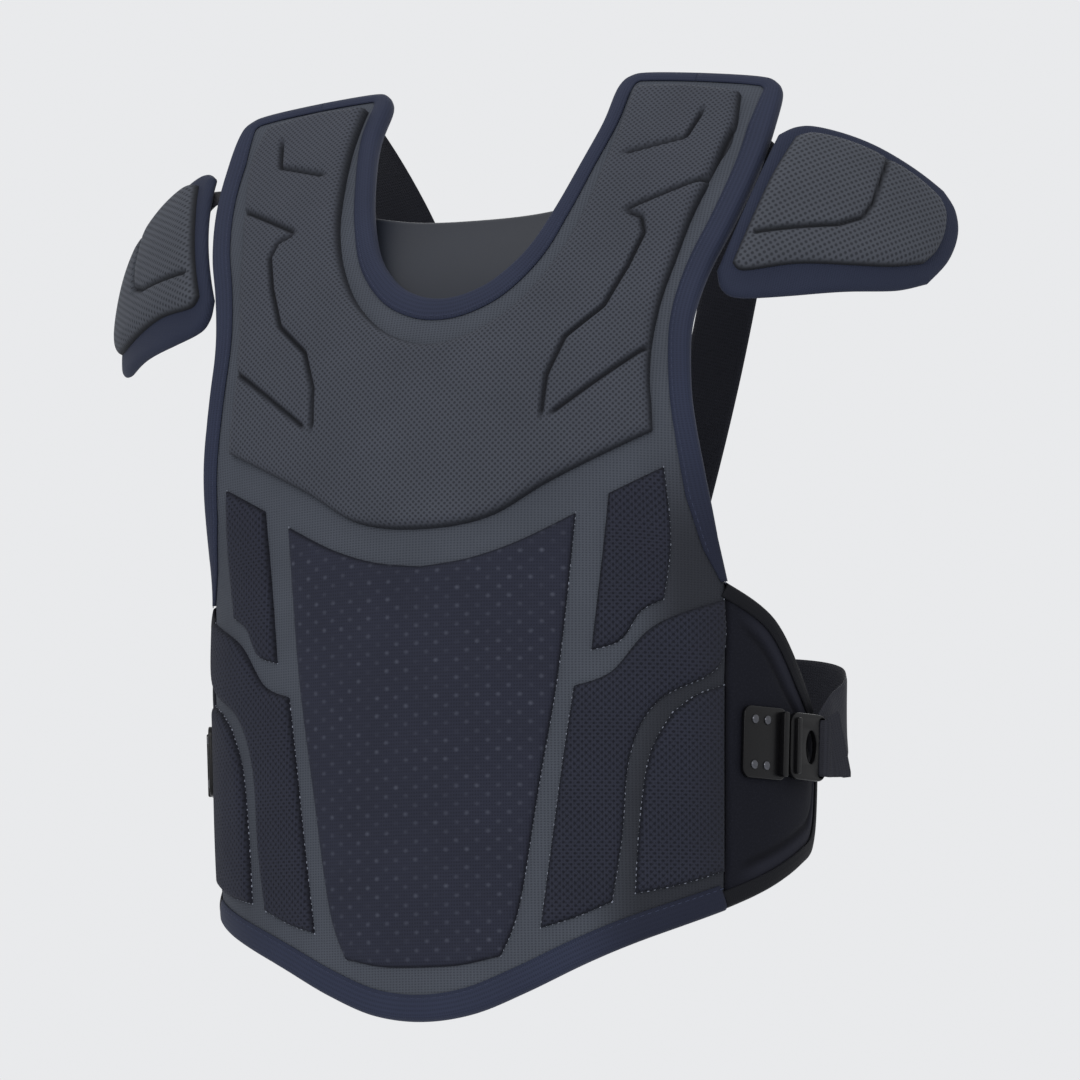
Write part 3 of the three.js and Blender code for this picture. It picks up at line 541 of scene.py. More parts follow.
@dataclass
class Pad:
    """Flat places of a pad with their faces and open border. Grids join where their places meet."""

    flat: Array
    faces: list[list[int]]
    border: Array

    @classmethod
    def over(cls, *grids: Array) -> Pad:
        """Pad over one or more grids of flat places.

        Args:
            grids: Places, indexed by row, column and coordinate.

        Returns:
            The pad, with all its faces turned one way.
        """
        places = np.concatenate([g.reshape(-1, 2) for g in grids])
        keys, first, number = np.unique(
            np.round(places, WELD_DECIMALS), axis=0, return_index=True, return_inverse=True
        )
        flat = places[first]
        number = number.reshape(-1)
        corners = []
        start = 0
        for grid in grids:
            rows, columns = grid.shape[:2]
            index = number[start : start + rows * columns].reshape(rows, columns)
            start += rows * columns
            ring = [index[:-1, :-1], index[:-1, 1:], index[1:, 1:], index[1:, :-1]]
            corners.append(np.stack([r.ravel() for r in ring], axis=1))
        quads = np.concatenate(corners)
        x, y = flat[quads, 0], flat[quads, 1]
        wide, tall = x[:, 1] - x[:, 3], y[:, 1] - y[:, 3]
        area = ((x[:, 0] - x[:, 2]) * tall - wide * (y[:, 0] - y[:, 2])) / 2
        quads = np.where((area > 0)[:, None], quads[:, ::-1], quads)[np.abs(area) > SLIVER_MM2]
        faces = [list(dict.fromkeys(q)) for q in quads.tolist()]
        edges = np.array([(f[k - 1], f[k]) for f in faces for k in range(len(f))])
        count = len(keys)
        open_edge = ~np.isin(edges[:, 1] * count + edges[:, 0], edges[:, 0] * count + edges[:, 1])
        return cls(flat, faces, edges[open_edge])

    def build(
        self, name: str, place: Placing, bottom: Array, top: Array, **fields: Array
    ) -> bpy.types.Object:
        """Closed mesh between a bottom and a top.

        Args:
            name: Name of the object.
            place: Turns flat places and heights into points.
            bottom: Height of the underside at each place, or one for all.
            top: Height of the upper side at each place.
            fields: Further values at each place, for the finish.

        Returns:
            The new object.
        """
        count = len(self.flat)
        points = np.concatenate([place(self.flat, top), place(self.flat, bottom)])
        under = [[i + count for i in reversed(f)] for f in self.faces]
        walls = [[b, a, a + count, b + count] for a, b in self.border.tolist()]
        faces = outward(points, self.faces + under + walls)
        flat = np.concatenate([self.flat, np.zeros((count, 1))], axis=1)
        values = {"flat_mm": flat, **fields}
        return mesh_object(name, points, faces, {k: np.concatenate([v, v]) for k, v in values.items()})


def sweep(name: str, rings: Array, across: Array, **fields: Array) -> bpy.types.Object:
    """Bar through rings of points, closed at both ends.

    Args:
        name: Name of the object.
        rings: Points, indexed by ring, place in the section and coordinate.
        across: Length across the section at each of its places, for the finish.
        fields: Further values at each ring, for the finish.

    Returns:
        The new object.
    """
    count, size = rings.shape[:2]
    steps = np.linalg.norm(np.diff(rings.mean(axis=1), axis=0), axis=1)
    along = np.concatenate([[0.0], np.cumsum(steps)])
    flat = np.stack([np.tile(across, count), np.repeat(along, size), np.zeros(count * size)], axis=1)
    points = rings.reshape(-1, 3)
    values = {"flat_mm": flat, **{key: np.repeat(ring, size) for key, ring in fields.items()}}
    return mesh_object(name, points, outward(points, tube_faces(count, size)), values)


def joined(name: str, pieces: Sequence[bpy.types.Object]) -> bpy.types.Object:
    """Joins mesh objects into one.

    Args:
        name: Name of the result.
        pieces: Objects to join; they are used up.

    Returns:
        The joined object.
    """
    bpy.ops.object.select_all(action="DESELECT")
    for piece in pieces:
        piece.select_set(True)
    bpy.context.view_layer.objects.active = pieces[0]
    bpy.ops.object.join()
    pieces[0].name = name
    pieces[0].data.name = name
    return pieces[0]


# Finishes


def linear(code: str) -> tuple[float, float, float, float]:
    """Linear colour of an sRGB hex value.

    Args:
        code: Colour as a hash and six digits.

    Returns:
        Red, green, blue and full cover.
    """
    parts = [int(code[i : i + 2], 16) / 255 for i in (1, 3, 5)]
    channels = [c / 12.92 if c <= 0.04045 else ((c + 0.055) / 1.055) ** 2.4 for c in parts]
    return (*channels, 1.0)


Socket = bpy.types.NodeSocket
Tree = bpy.types.NodeTree


def add_node(
    tree: Tree,
    kind: str,
    settings: dict[str | int, object] | None = None,
    links: dict[str | int, Socket] | None = None,
) -> bpy.types.Node:
    """Adds a node with its settings and links.

    Inputs that share a name are given by number: 1 to 4 are the two ranges of a MapRange, and 6 and 7 are the
    two colours of a Mix.

    Args:
        tree: Node tree that it goes into.
        kind: Node type, without the ShaderNode prefix.
        settings: Values by the name of a property, or by the name or number of an input.
        links: Outputs to connect, by the name or number of the input that takes them.

    Returns:
        The new node.
    """
    node = tree.nodes.new("ShaderNode" + kind)
    for key, value in (settings or {}).items():
        if isinstance(key, str) and key in node.bl_rna.properties:
            setattr(node, key, value)
        else:
            node.inputs[key].default_value = value
    for key, output in (links or {}).items():
        tree.links.new(output, node.inputs[key])
    return node


class Weave(NamedTuple):
    """Crossed ribs of a cloth: their spacing across and down, and how they show.

    The yarn strays by a wobble. The ribs turn towards the shade by an amount, and the light sees them at a
    depth, with a strength.
    """

    pitch_mm: tuple[float, float]
    wobble: float
    shade: str
    amount: float
    depth_mm: float
    strength: float


# Real ribs of these cloths lie 0.4 to 1 mm apart. A pixel of the picture is about 0.6 mm wide, so all of them
# are drawn coarser than they are.
SHELL_WEAVE = Weave((2.0, 1.6), 0.6, "#23252c", 0.6, 0.3, 0.6)
MESH_WEAVE = Weave((1.6, 2.08), 0.5, "#14151b", 0.5, 0.4, 0.5)
TAPE_WEAVE = Weave((0.98, 1.4), 0.4, "#131621", 0.5, 0.3, 0.5)
BLACK_TAPE_WEAVE = TAPE_WEAVE._replace(shade="#08080c")
WEBBING_WEAVE = Weave((1.54, 2.2), 0.4, "#0c0c11", 0.5, 0.6, 0.5)
# Most values of a noise texture lie in this range.
NOISE_RANGE = (0.3, 0.7)


@dataclass(frozen=True)
class Finish:
    """A surface: its material and how it was made. Patterns are drawn in the piece's flat millimetres."""

    name: str
    colour: str
    roughness: float
    sheen: float = 0.0
    sheen_roughness: float = 0.4
    sheen_tint: str = "#aeb4c6"
    ior: float = 1.5
    specular: float = 0.15
    metallic: float = 0.0
    cloud_mm: float = 45.0
    cloud: float = 0.06
    # Colour and amount of the painted shade towards the side seams, where a piece carries it.
    flank: str = "#1f2025"
    flank_shade_amount: float = 0.8

    def material(self) -> bpy.types.Material:
        """Material for this finish, made once and then shared.

        Returns:
            The material.
        """
        known = bpy.data.materials.get(self.name)
        if known:
            return known
        made = bpy.data.materials.new(self.name)
        made.use_nodes = True
        tree = made.node_tree
        tree.nodes.clear()
        # Cloth fibres shade one another, so little of their mirror reflection gets out.
        settings = {"Roughness": self.roughness, "IOR": self.ior, "Specular IOR Level": self.specular}
        shader = add_node(tree, "BsdfPrincipled", {**settings, "Metallic": self.metallic})
        if self.sheen:
            shader.inputs["Sheen Weight"].default_value = self.sheen
            shader.inputs["Sheen Roughness"].default_value = self.sheen_roughness
            shader.inputs["Sheen Tint"].default_value = linear(self.sheen_tint)
        add_node(tree, "OutputMaterial", links={"Surface": shader.outputs[0]})
        made.diffuse_color = linear(self.colour)
        self.paint(tree, shader)
        return made

    def flat(self, tree: Tree) -> Socket:
        """Flat place on the piece, in millimetres."""
        return add_node(tree, "Attribute", {"attribute_name": "flat_mm"}).outputs["Vector"]

    def carried(self, tree: Tree, name: str) -> Socket:
        """Share that the piece's mesh carries under a name, or 0 where it carries none."""
        return add_node(tree, "Attribute", {"attribute_name": name}).outputs["Fac"]

    def patches(self, tree: Tree, size_mm: float, detail: float) -> Socket:
        """Uneven patches of about a size, from 0 to 1."""
        settings = {"Scale": 1 / size_mm, "Detail": detail}
        return add_node(tree, "TexNoise", settings, {"Vector": self.flat(tree)}).outputs["Fac"]

    def clouded(self, tree: Tree) -> Socket:
        """The finish's colour with a faint unevenness, as dyed cloth has.

        Args:
            tree: Node tree of the material.

        Returns:
            The uneven colour.
        """
        spread = {1: NOISE_RANGE[0], 2: NOISE_RANGE[1], 3: 1 - self.cloud, 4: 1 + self.cloud}
        tone = add_node(tree, "MapRange", spread, {0: self.patches(tree, self.cloud_mm, 3.0)})
        plain = {"data_type": "RGBA", "blend_type": "MULTIPLY", 0: 1.0, 6: linear(self.colour)}
        return add_node(tree, "Mix", plain, {7: tone.outputs[0]}).outputs[2]

    def dots(self, tree: Tree, pitch: tuple[float, float], small: float, large: float) -> Socket:
        """Round dots on a staggered lattice: 1 in the middle of a dot and 0 between them.

        Args:
            tree: Node tree of the material.
            pitch: Spacing of the rows' repeat, across and down, in millimetres.
            small: Share of the half pitch where a dot is still full.
            large: Share where it ends.

        Returns:
            The dots.
        """
        shrunk = {"Scale": (1 / pitch[0], 1 / pitch[1], 0.0)}
        squared = add_node(tree, "Mapping", shrunk, {"Vector": self.flat(tree)})
        diagonal = {"Rotation": (0.0, 0.0, math.radians(45)), "Scale": (math.sqrt(2), math.sqrt(2), 0.0)}
        lattice = add_node(tree, "Mapping", diagonal, {"Vector": squared.outputs[0]})
        regular = {"voronoi_dimensions": "2D", "Scale": 1.0, "Randomness": 0.0}
        cells = add_node(tree, "TexVoronoi", regular, {"Vector": lattice.outputs[0]})
        edge = {"interpolation_type": "SMOOTHSTEP", 1: small * 0.5, 2: large * 0.5, 3: 1.0, 4: 0.0}
        return add_node(tree, "MapRange", edge, {0: cells.outputs["Distance"]}).outputs[0]

    def ribs(self, tree: Tree, direction: str, pitch_mm: float, wobble: float) -> Socket:
        """Fine ribs, from 0 in a furrow to 1 on a crest.

        Args:
            tree: Node tree of the material.
            direction: Axis across the ribs, X or Y.
            pitch_mm: Spacing of the ribs.
            wobble: How far the yarn strays.

        Returns:
            The ribs.
        """
        # At a scale of 1 this texture repeats every tenth of pi.
        bands = {"wave_type": "BANDS", "bands_direction": direction, "Scale": math.pi / (10 * pitch_mm)}
        stray = {"Distortion": wobble, "Detail": 1.0, "Detail Scale": 2.0}
        return add_node(tree, "TexWave", bands | stray, {"Vector": self.flat(tree)}).outputs["Fac"]

    def tinted(self, tree: Tree, colour: Socket, other: str, mask: Socket, amount: float) -> Socket:
        """Colour that turns towards another where a mask is on.

        Args:
            tree: Node tree of the material.
            colour: Colour so far.
            other: Colour to turn to, as sRGB hex.
            mask: Where to turn, from 0 to 1.
            amount: How far to turn.

        Returns:
            The new colour.
        """
        share = add_node(tree, "Math", {"operation": "MULTIPLY", 1: amount}, {0: mask}).outputs[0]
        settings = {"data_type": "RGBA", 7: linear(other)}
        return add_node(tree, "Mix", settings, {0: share, 6: colour}).outputs[2]

    def with_painted_flank_shade(self, tree: Tree, colour: Socket) -> Socket:
        """Colour with painted shade towards the side seams, where the piece carries it."""
        return self.tinted(tree, colour, self.flank, self.carried(tree, "seamward"), self.flank_shade_amount)

    def woven(self, tree: Tree, shader: bpy.types.Node, weave: Weave) -> Socket:
        """Clouded colour with the ribs of a weave, which are pressed into the surface too.

        Args:
            tree: Node tree of the material.
            shader: Surface shader.
            weave: The ribs.

        Returns:
            The ribbed colour.
        """
        ways = zip("XY", weave.pitch_mm)
        across, down = (self.ribs(tree, axis, pitch, weave.wobble) for axis, pitch in ways)
        crossed = add_node(tree, "Math", {"operation": "MULTIPLY"}, {0: across, 1: down}).outputs[0]
        self.raised(tree, shader, crossed, weave.depth_mm, weave.strength)
        return self.tinted(tree, self.clouded(tree), weave.shade, crossed, weave.amount)

    def raised(
        self, tree: Tree, shader: bpy.types.Node, height: Socket, depth_mm: float, strength: float
    ) -> None:
        """Presses a pattern into the surface.

        Args:
            tree: Node tree of the material.
            shader: Surface shader that takes the new normal.
            height: Pattern, from 0 to 1.
            depth_mm: How deep the pattern is.
            strength: How much of it shows.
        """
        taken = shader.inputs["Normal"]
        before = {"Normal": taken.links[0].from_socket} if taken.is_linked else {}
        settings = {"Strength": strength, "Distance": depth_mm * MM}
        bump = add_node(tree, "Bump", settings, {"Height": height, **before})
        tree.links.new(bump.outputs[0], taken)

    def paint(self, tree: Tree, shader: bpy.types.Node) -> None:
        """Draws the finish's patterns. The plain finish is only clouded."""
        tree.links.new(self.clouded(tree), shader.inputs["Base Color"])


@dataclass(frozen=True)
class WovenCloth(Finish):
    """Knit, tape or webbing: matte, with crossed ribs that catch the light."""

    weave: Weave = TAPE_WEAVE

    def paint(self, tree: Tree, shader: bpy.types.Node) -> None:
        """Draws the ribs, and the painted shade towards the side seams."""
        colour = self.woven(tree, shader, self.weave)
        tree.links.new(self.with_painted_flank_shade(tree, colour), shader.inputs["Base Color"])


@dataclass(frozen=True)
class DimpledKnit(Finish):
    """Knit pressed over foam with a staggered field of dimples: painted shade in each, pale ridges between.
    """

    pitch_mm: float = 3.5
    reach: tuple[float, float] = (0.25, 0.85)
    # Colour and amount of the painted shade in each dimple.
    dimple: str = "#191a1f"
    dimple_shade_amount: float = 0.7
    # Colour and amount of the painted shade in the grooves and along the rim.
    groove: str = "#08080b"
    groove_shade_amount: float = 0.9
    depth_mm: float = 0.5
    strength: float = 0.8

    def paint(self, tree: Tree, shader: bpy.types.Node) -> None:
        """Draws the dimples with painted shade in each, and painted shade in each groove and along the rim.

        Args:
            tree: Node tree of the material.
            shader: Surface shader.
        """
        grooves = self.carried(tree, "painted_shade")
        face = add_node(tree, "Math", {"operation": "SUBTRACT", 0: 1.0}, {1: grooves})
        lattice = self.dots(tree, (self.pitch_mm, self.pitch_mm), *self.reach)
        dots = add_node(tree, "Math", {"operation": "MULTIPLY"}, {0: lattice, 1: face.outputs[0]})
        # Painted shade in the dimples, kept out of the grooves.
        colour = self.tinted(tree, self.clouded(tree), self.dimple, dots.outputs[0], self.dimple_shade_amount)
        # Painted shade in the grooves and along the rim.
        colour = self.tinted(tree, colour, self.groove, grooves, self.groove_shade_amount)
        tree.links.new(colour, shader.inputs["Base Color"])
        sunk = add_node(tree, "Math", {"operation": "SUBTRACT", 0: 1.0}, {1: dots.outputs[0]})
        self.raised(tree, shader, sunk.outputs[0], self.depth_mm, self.strength)


@dataclass(frozen=True)
class SpacerMesh(Finish):
    """Knitted spacer mesh: a fine upright rib with pale specks of pile, or small holes holding painted shade.
    """

    weave: Weave = MESH_WEAVE
    pattern: MeshPattern = MeshPattern.HOLES
    pitch_mm: tuple[float, float] = (4.4, 4.4)
    reach: tuple[float, float] = (0.25, 0.75)
    # Colour and amount of the dots: the specks' own pale colour, or painted shade in the holes.
    dot: str = "#12131a"
    dot_amount: float = 0.85
    worn_mm: float = 7.0
    worn_range: tuple[float, float] = (0.35, 0.8)
    worn_least: float = 0.1
    rim_shade_amount: float = 0.7
    depth_mm: float = 0.5
    strength: float = 0.6

    def paint(self, tree: Tree, shader: bpy.types.Node) -> None:
        """Draws the rib and the specks, which are worn here and there, or the holes, with painted shade in
        the holes, along the rim and towards the side seams.

        Args:
            tree: Node tree of the material.
            shader: Surface shader.
        """
        colour = self.woven(tree, shader, self.weave)
        dots = self.dots(tree, self.pitch_mm, *self.reach)
        if self.pattern is MeshPattern.SPECKS:
            worn = self.patches(tree, self.worn_mm, 1.0)
            low, high = self.worn_range
            seen = add_node(tree, "MapRange", {1: low, 2: high, 3: self.worn_least}, {0: worn})
            shown = add_node(tree, "Math", {"operation": "MULTIPLY"}, {0: dots, 1: seen.outputs[0]})
            dots = lift = shown.outputs[0]
        else:
            lift = add_node(tree, "Math", {"operation": "SUBTRACT", 0: 1.0}, {1: dots}).outputs[0]
        # Pale dots are the specks' own colour; dark ones are painted shade in the holes.
        colour = self.tinted(tree, colour, self.dot, dots, self.dot_amount)
        # Painted shade along the panel's rim, in the weave's shade colour, then towards the side seams.
        colour = self.tinted(tree, colour, self.weave.shade, self.carried(tree, "painted_shade"), self.rim_shade_amount)
        tree.links.new(self.with_painted_flank_shade(tree, colour), shader.inputs["Base Color"])
        self.raised(tree, shader, lift, self.depth_mm, self.strength)


@dataclass(frozen=True)
class BrushedKnit(Finish):
    """Brushed loop knit: near black and matte, with a short nap that breaks up the light."""

    nap_mm: float = 1.2
    nap_range: tuple[float, float] = (0.5, 0.8)
    # Colour of the nap's pale tips, and of the painted highlight on the border.
    lint_and_highlight: str = "#25262f"
    lint_amount: float = 0.5
    # How much painted highlight the border takes.
    border_highlight_amount: float = 0.6
    # Colour and amount of the painted shade in the contour's groove and along the seam.
    painted_shade: str = "#0c0c10"
    painted_shade_amount: float = 0.7
    depth_mm: float = 0.4
    strength: float = 0.5

    def paint(self, tree: Tree, shader: bpy.types.Node) -> None:
        """Draws the nap, painted shade in the contour and the seam, and a painted highlight on the border
        outside.

        Args:
            tree: Node tree of the material.
            shader: Surface shader.
        """
        nap = self.patches(tree, self.nap_mm, 4.0)
        low, high = self.nap_range
        tips = add_node(tree, "MapRange", {1: low, 2: high}, {0: nap})
        colour = self.tinted(tree, self.clouded(tree), self.lint_and_highlight, tips.outputs[0], self.lint_amount)
        # Painted shade in the contour's groove and along the seam, then the painted highlight on the border.
        colour = self.tinted(tree, colour, self.painted_shade, self.carried(tree, "painted_shade"), self.painted_shade_amount)
        colour = self.tinted(tree, colour, self.lint_and_highlight, self.carried(tree, "border"), self.border_highlight_amount)
        tree.links.new(colour, shader.inputs["Base Color"])
        self.raised(tree, shader, nap, self.depth_mm, self.strength)


@dataclass(frozen=True)
class MouldedSkin(Finish):
    """Moulded or coated skin: a close satin grain, with gloss that breaks on it."""

    grain_mm: float = 0.9
    grain: float = 0.2
    depth_mm: float = 0.15
    gloss: tuple[float, float] = (-0.06, 0.08)

    def paint(self, tree: Tree, shader: bpy.types.Node) -> None:
        """Draws the grain and the uneven gloss.

        Args:
            tree: Node tree of the material.
            shader: Surface shader.
        """
        grain = self.patches(tree, self.grain_mm, 3.0)
        low, high = (self.roughness + step for step in self.gloss)
        spread = {1: NOISE_RANGE[0], 2: NOISE_RANGE[1], 3: low, 4: high}
        gloss = add_node(tree, "MapRange", spread, {0: grain})
        tree.links.new(self.clouded(tree), shader.inputs["Base Color"])
        tree.links.new(gloss.outputs[0], shader.inputs["Roughness"])
        self.raised(tree, shader, grain, self.depth_mm, self.grain)


# Knit pressed flat over foam by heat: a dull slate grey, with ribs that keep it from looking like plastic.
# Its flanks take painted shade, in the finish's flank colour.
SHELL_KNIT = WovenCloth("polyester_knit_heat_pressed", "#43474f", 0.85, sheen=0.04, weave=SHELL_WEAVE)
# Knit pressed into a field of dimples: the painted shade in each makes the plate read as a fine grid.
CHEST_KNIT = DimpledKnit("polyester_knit_dimpled", "#3d4048", 0.8, sheen=0.04)
# The caps' knit has wider dimples, so their grid is coarser and a little paler.
CAP_KNIT = DimpledKnit("polyester_knit_coarse_dimples", "#42454c", 0.8, sheen=0.04, pitch_mm=4.2)
# Mesh knitted with specks of pile: dark navy, with pale flecks that come and go.
CENTER_MESH = SpacerMesh(
    "spacer_mesh_specked",
    "#262834",
    0.9,
    sheen=0.03,
    pattern=MeshPattern.SPECKS,
    pitch_mm=(12.3, 10.7),
    reach=(0.0, 0.55),
    dot="#474a56",
)
# Mesh knitted with open holes: each carries painted shade, darker than the navy round it, so the panel looks
# airy.
SIDE_MESH = SpacerMesh("spacer_mesh_holed", "#272934", 0.9, sheen=0.03)
# Tape folded over an edge and sewn down: navy, with a soft light along the fold.
# Its flank colour is the painted shade on the flanks.
EDGE_TAPE = WovenCloth("polyester_tape_folded", "#282d3f", 0.75, sheen=0.05, flank="#1a1d2b")
# Plain cloth wrapped round the caps' foam: the same navy, flatter in the light.
CAP_EDGE = WovenCloth("polyester_cloth_navy", "#262b3c", 0.8, sheen=0.05)
# Knit brushed to a nap: it swallows the light, so the wing is nearly black. The nap is drawn coarser.
WING_KNIT = BrushedKnit("nylon_knit_brushed", "#14151c", 0.9, specular=0.1)
# Black tape folded over the wing's edge: only a thin rim of light tells it from the wing.
# Its flank colour is the painted shade on the flanks.
WING_TAPE = WovenCloth("nylon_tape_folded", "#0f1016", 0.75, flank="#0e0f14", weave=BLACK_TAPE_WEAVE)
# Skin cast on foam: smooth, with a broad satin gloss that no cloth here has. Its grain is drawn coarser.
THROAT_SKIN = MouldedSkin("polyurethane_skin_satin", "#1b1f28", 0.42, specular=0.35)
# Nylon from a mould: black, with small sharp lights along its edges. Its grain is drawn coarser.
BUCKLE_NYLON = MouldedSkin("nylon_moulded_black", "#09090b", 0.32, specular=0.2, grain_mm=0.6)
# Blackened steel, pressed into domes: the only metal, with one bright dot on each.
RIVET_STEEL = Finish("steel_rivet_blackened", "#55565b", 0.28, metallic=1.0, specular=0.5)
# Webbing woven with heavy cross ribs: charcoal, and rougher to the eye than the tapes.
WEBBING = WovenCloth("polypropylene_webbing", "#25262d", 0.7, weave=WEBBING_WEAVE)
# Spun thread, worn in places: a broken pale line along the strips.
PALE_THREAD = Finish("polyester_thread_pale", "#777b87", 0.6, cloud_mm=6.0, cloud=0.4)
# Spun thread in the tape's own navy: seen only as a row of small bumps.
NAVY_THREAD = Finish("polyester_thread_navy", "#303548", 0.6)
# Matte paper on the studio's floor: an even pale ground that sends soft light back up.
FLOOR_PAPER = Finish("paper_matte_white", "#eeeff1", 0.9, cloud_mm=900.0, cloud=0.01)


def dress(
    piece: bpy.types.Object, finish: Finish, slot: str, *nodes: str, fill: float | None = None
) -> None:
    """Gives a piece its finish, puts it on the part's body and reports it.

    Args:
        piece: Object to dress.
        finish: Its surface.
        slot: Material slot of the record; not used.
        nodes: Nodes of the frame that the piece stands for.
        fill: How tight a padded piece is, from 0 to 1; not used.
    """
    piece.data.materials.append(finish.material())
    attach(piece, BODY)
    if nodes:
        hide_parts(*nodes)
    LOG.info("%s: %d faces, %s", piece.name, len(piece.data.polygons), finish.name)


# Front of the protector

TORSO = TorsoForm()
SHELL_TOP = 8.0
SHELL = RungOutline(
    top=((82, 42), (92, 38), (126, 38.5), (164, 41), (176, 46)),
    outer=(
        (176, 46), (180.5, 58), (180.5, 97), (177.5, 129), (171, 162), (162.5, 191), (157.5, 214),
        (155.5, 232), (156, 250), (159.5, 286), (167.5, 331), (181, 389), (181, 455), (181, 520),
        (181, 586),
    ),
    bottom=((0, 650), (31, 646), (62, 634), (98, 617), (132, 603), (181, 586)),
    inner=(
        (82, 42), (78, 53), (77, 82), (71, 116), (62, 152), (50, 182), (33, 203), (16, 213),
        (0, 216), (0, 260), (0, 325), (0, 410), (0, 490), (0, 570), (0, 650),
    ),
    neck_rungs=8,
)


def mirrored(flat: Array) -> Array:
    """Flat places of the other half."""
    return flat * np.array([-1.0, 1.0])


@dataclass(frozen=True)
class FlankShade:
    """Painted shade towards the side seams, for flanks turned from the light: full on the left flank, less on
    the right.

    It rises between two lengths across, below the flaps between two lengths down, and spreads towards the
    middle further down, up to a limit.
    """

    across: tuple[float, float] = (118.0, 156.0)
    down: tuple[float, float] = (290.0, 370.0)
    spread: float = 0.25
    spread_from: float = 420.0
    spread_limit: float = 100.0
    right: float = 0.3

    def at(self, flat: Array) -> Array:
        """How much painted shade lies at flat places.

        Args:
            flat: Rows of across and down.

        Returns:
            Shares from 0 to 1.
        """
        across, down = flat[:, 0], flat[:, 1]
        lower = self.spread * np.clip(down - self.spread_from, 0.0, self.spread_limit)
        shade = smoothstep(np.abs(across) + lower, *self.across) * smoothstep(down, *self.down)
        return shade * np.where(across > 0, 1.0, self.right)


FLANK_SHADE = FlankShade()


@dataclass
class Stitching:
    """Row of short stitches along a flat route."""

    route: Array
    height: float
    pitch: float = 4.2
    length: float = 2.4
    radius: float = 0.45
    ragged: float = 0.0
    sides: int = 6
    stations: tuple[tuple[float, float], ...] = ((-0.5, 0.45), (-0.3, 1.0), (0.3, 1.0), (0.5, 0.45))

    def build(self, name: str, place: TorsoForm) -> bpy.types.Object:
        """Stitches as one mesh of small rounded bars.

        Args:
            name: Name of the object.
            place: Form that carries the stitches.

        Returns:
            The new object.
        """
        spots = even_route(self.route, self.pitch)
        way = unit(np.gradient(spots, axis=0))
        right, below, out = place.frame(spots)
        along = unit(right * way[:, :1] + below * way[:, 1:])
        side = np.cross(out, along)
        middle = place.on(spots, self.height)
        rng = np.random.default_rng(len(spots))
        size = 1.0 - self.ragged * rng.random((len(spots), 1, 1))
        angle = np.linspace(0.0, 2 * np.pi, self.sides, endpoint=False)
        round_out = np.cos(angle)[:, None] * side[:, None] + np.sin(angle)[:, None] * out[:, None]
        rings = []
        for share, swell in self.stations:
            centre = middle[:, None] + along[:, None] * share * self.length * size
            rings.append(centre + round_out * self.radius * swell * size)
        points = np.stack(rings, axis=1)
        count = len(self.stations) * self.sides
        bar = outward(points[0].reshape(-1, 3), tube_faces(len(self.stations), self.sides))
        faces = [[i + n * count for i in f] for n in range(len(spots)) for f in bar]
        flat = np.repeat(np.concatenate([spots, np.zeros((len(spots), 1))], axis=1), count, axis=0)
        return mesh_object(name, points.reshape(-1, 3), faces, {"flat_mm": flat})


@dataclass
class BellyPanel:
    """Puffed mesh panel between the strips of the shell."""

    outline: Outline
    finish: SpacerMesh
    steps: tuple[int, int]
    top: float = 12.2
    crown: float = 0.9
    crown_reach: float = 45.0
    edge: float = 6.5
    # Width of the painted shade along the rim.
    painted_shade: float = 2.2
    base: float = 7.4
    # Painted shade towards the side seam: where it rises across, and how much.
    seam: tuple[float, float] = (152.0, 180.0)
    seam_shade: float = 0.5

    def build(self, name: str, side: Side | None) -> None:
        """Panel as a closed puffed pad.

        Args:
            name: Name of the piece.
            side: Side it lies on, or None for the panel over the centre line.
        """
        grid = self.outline.fine_grid(self.steps)
        if side is None:
            pad = Pad.over(grid, mirrored(grid))
            distance = rim_distance(np.abs(pad.flat), self.outline.rims("top", "outer", "bottom"))
        else:
            pad = Pad.over(side.flip(grid))
            distance = rim_distance(side.flip(pad.flat), self.outline.rims())
        puff = quarter_round(distance, self.edge) * (self.top - SHELL_TOP)
        crown = self.crown * smoothstep(distance, 0.0, self.crown_reach)
        # Painted shade along the rim and towards the side seam.
        fields = {
            "painted_shade": 1.0 - smoothstep(distance, 0.0, self.painted_shade),
            "seamward": self.seam_shade * smoothstep(np.abs(pad.flat[:, 0]), *self.seam),
        }
        piece = pad.build(name, TORSO.on, self.base, SHELL_TOP + puff + crown, **fields)
        dress(piece, self.finish, "knitted_mesh", name, fill=0.8)


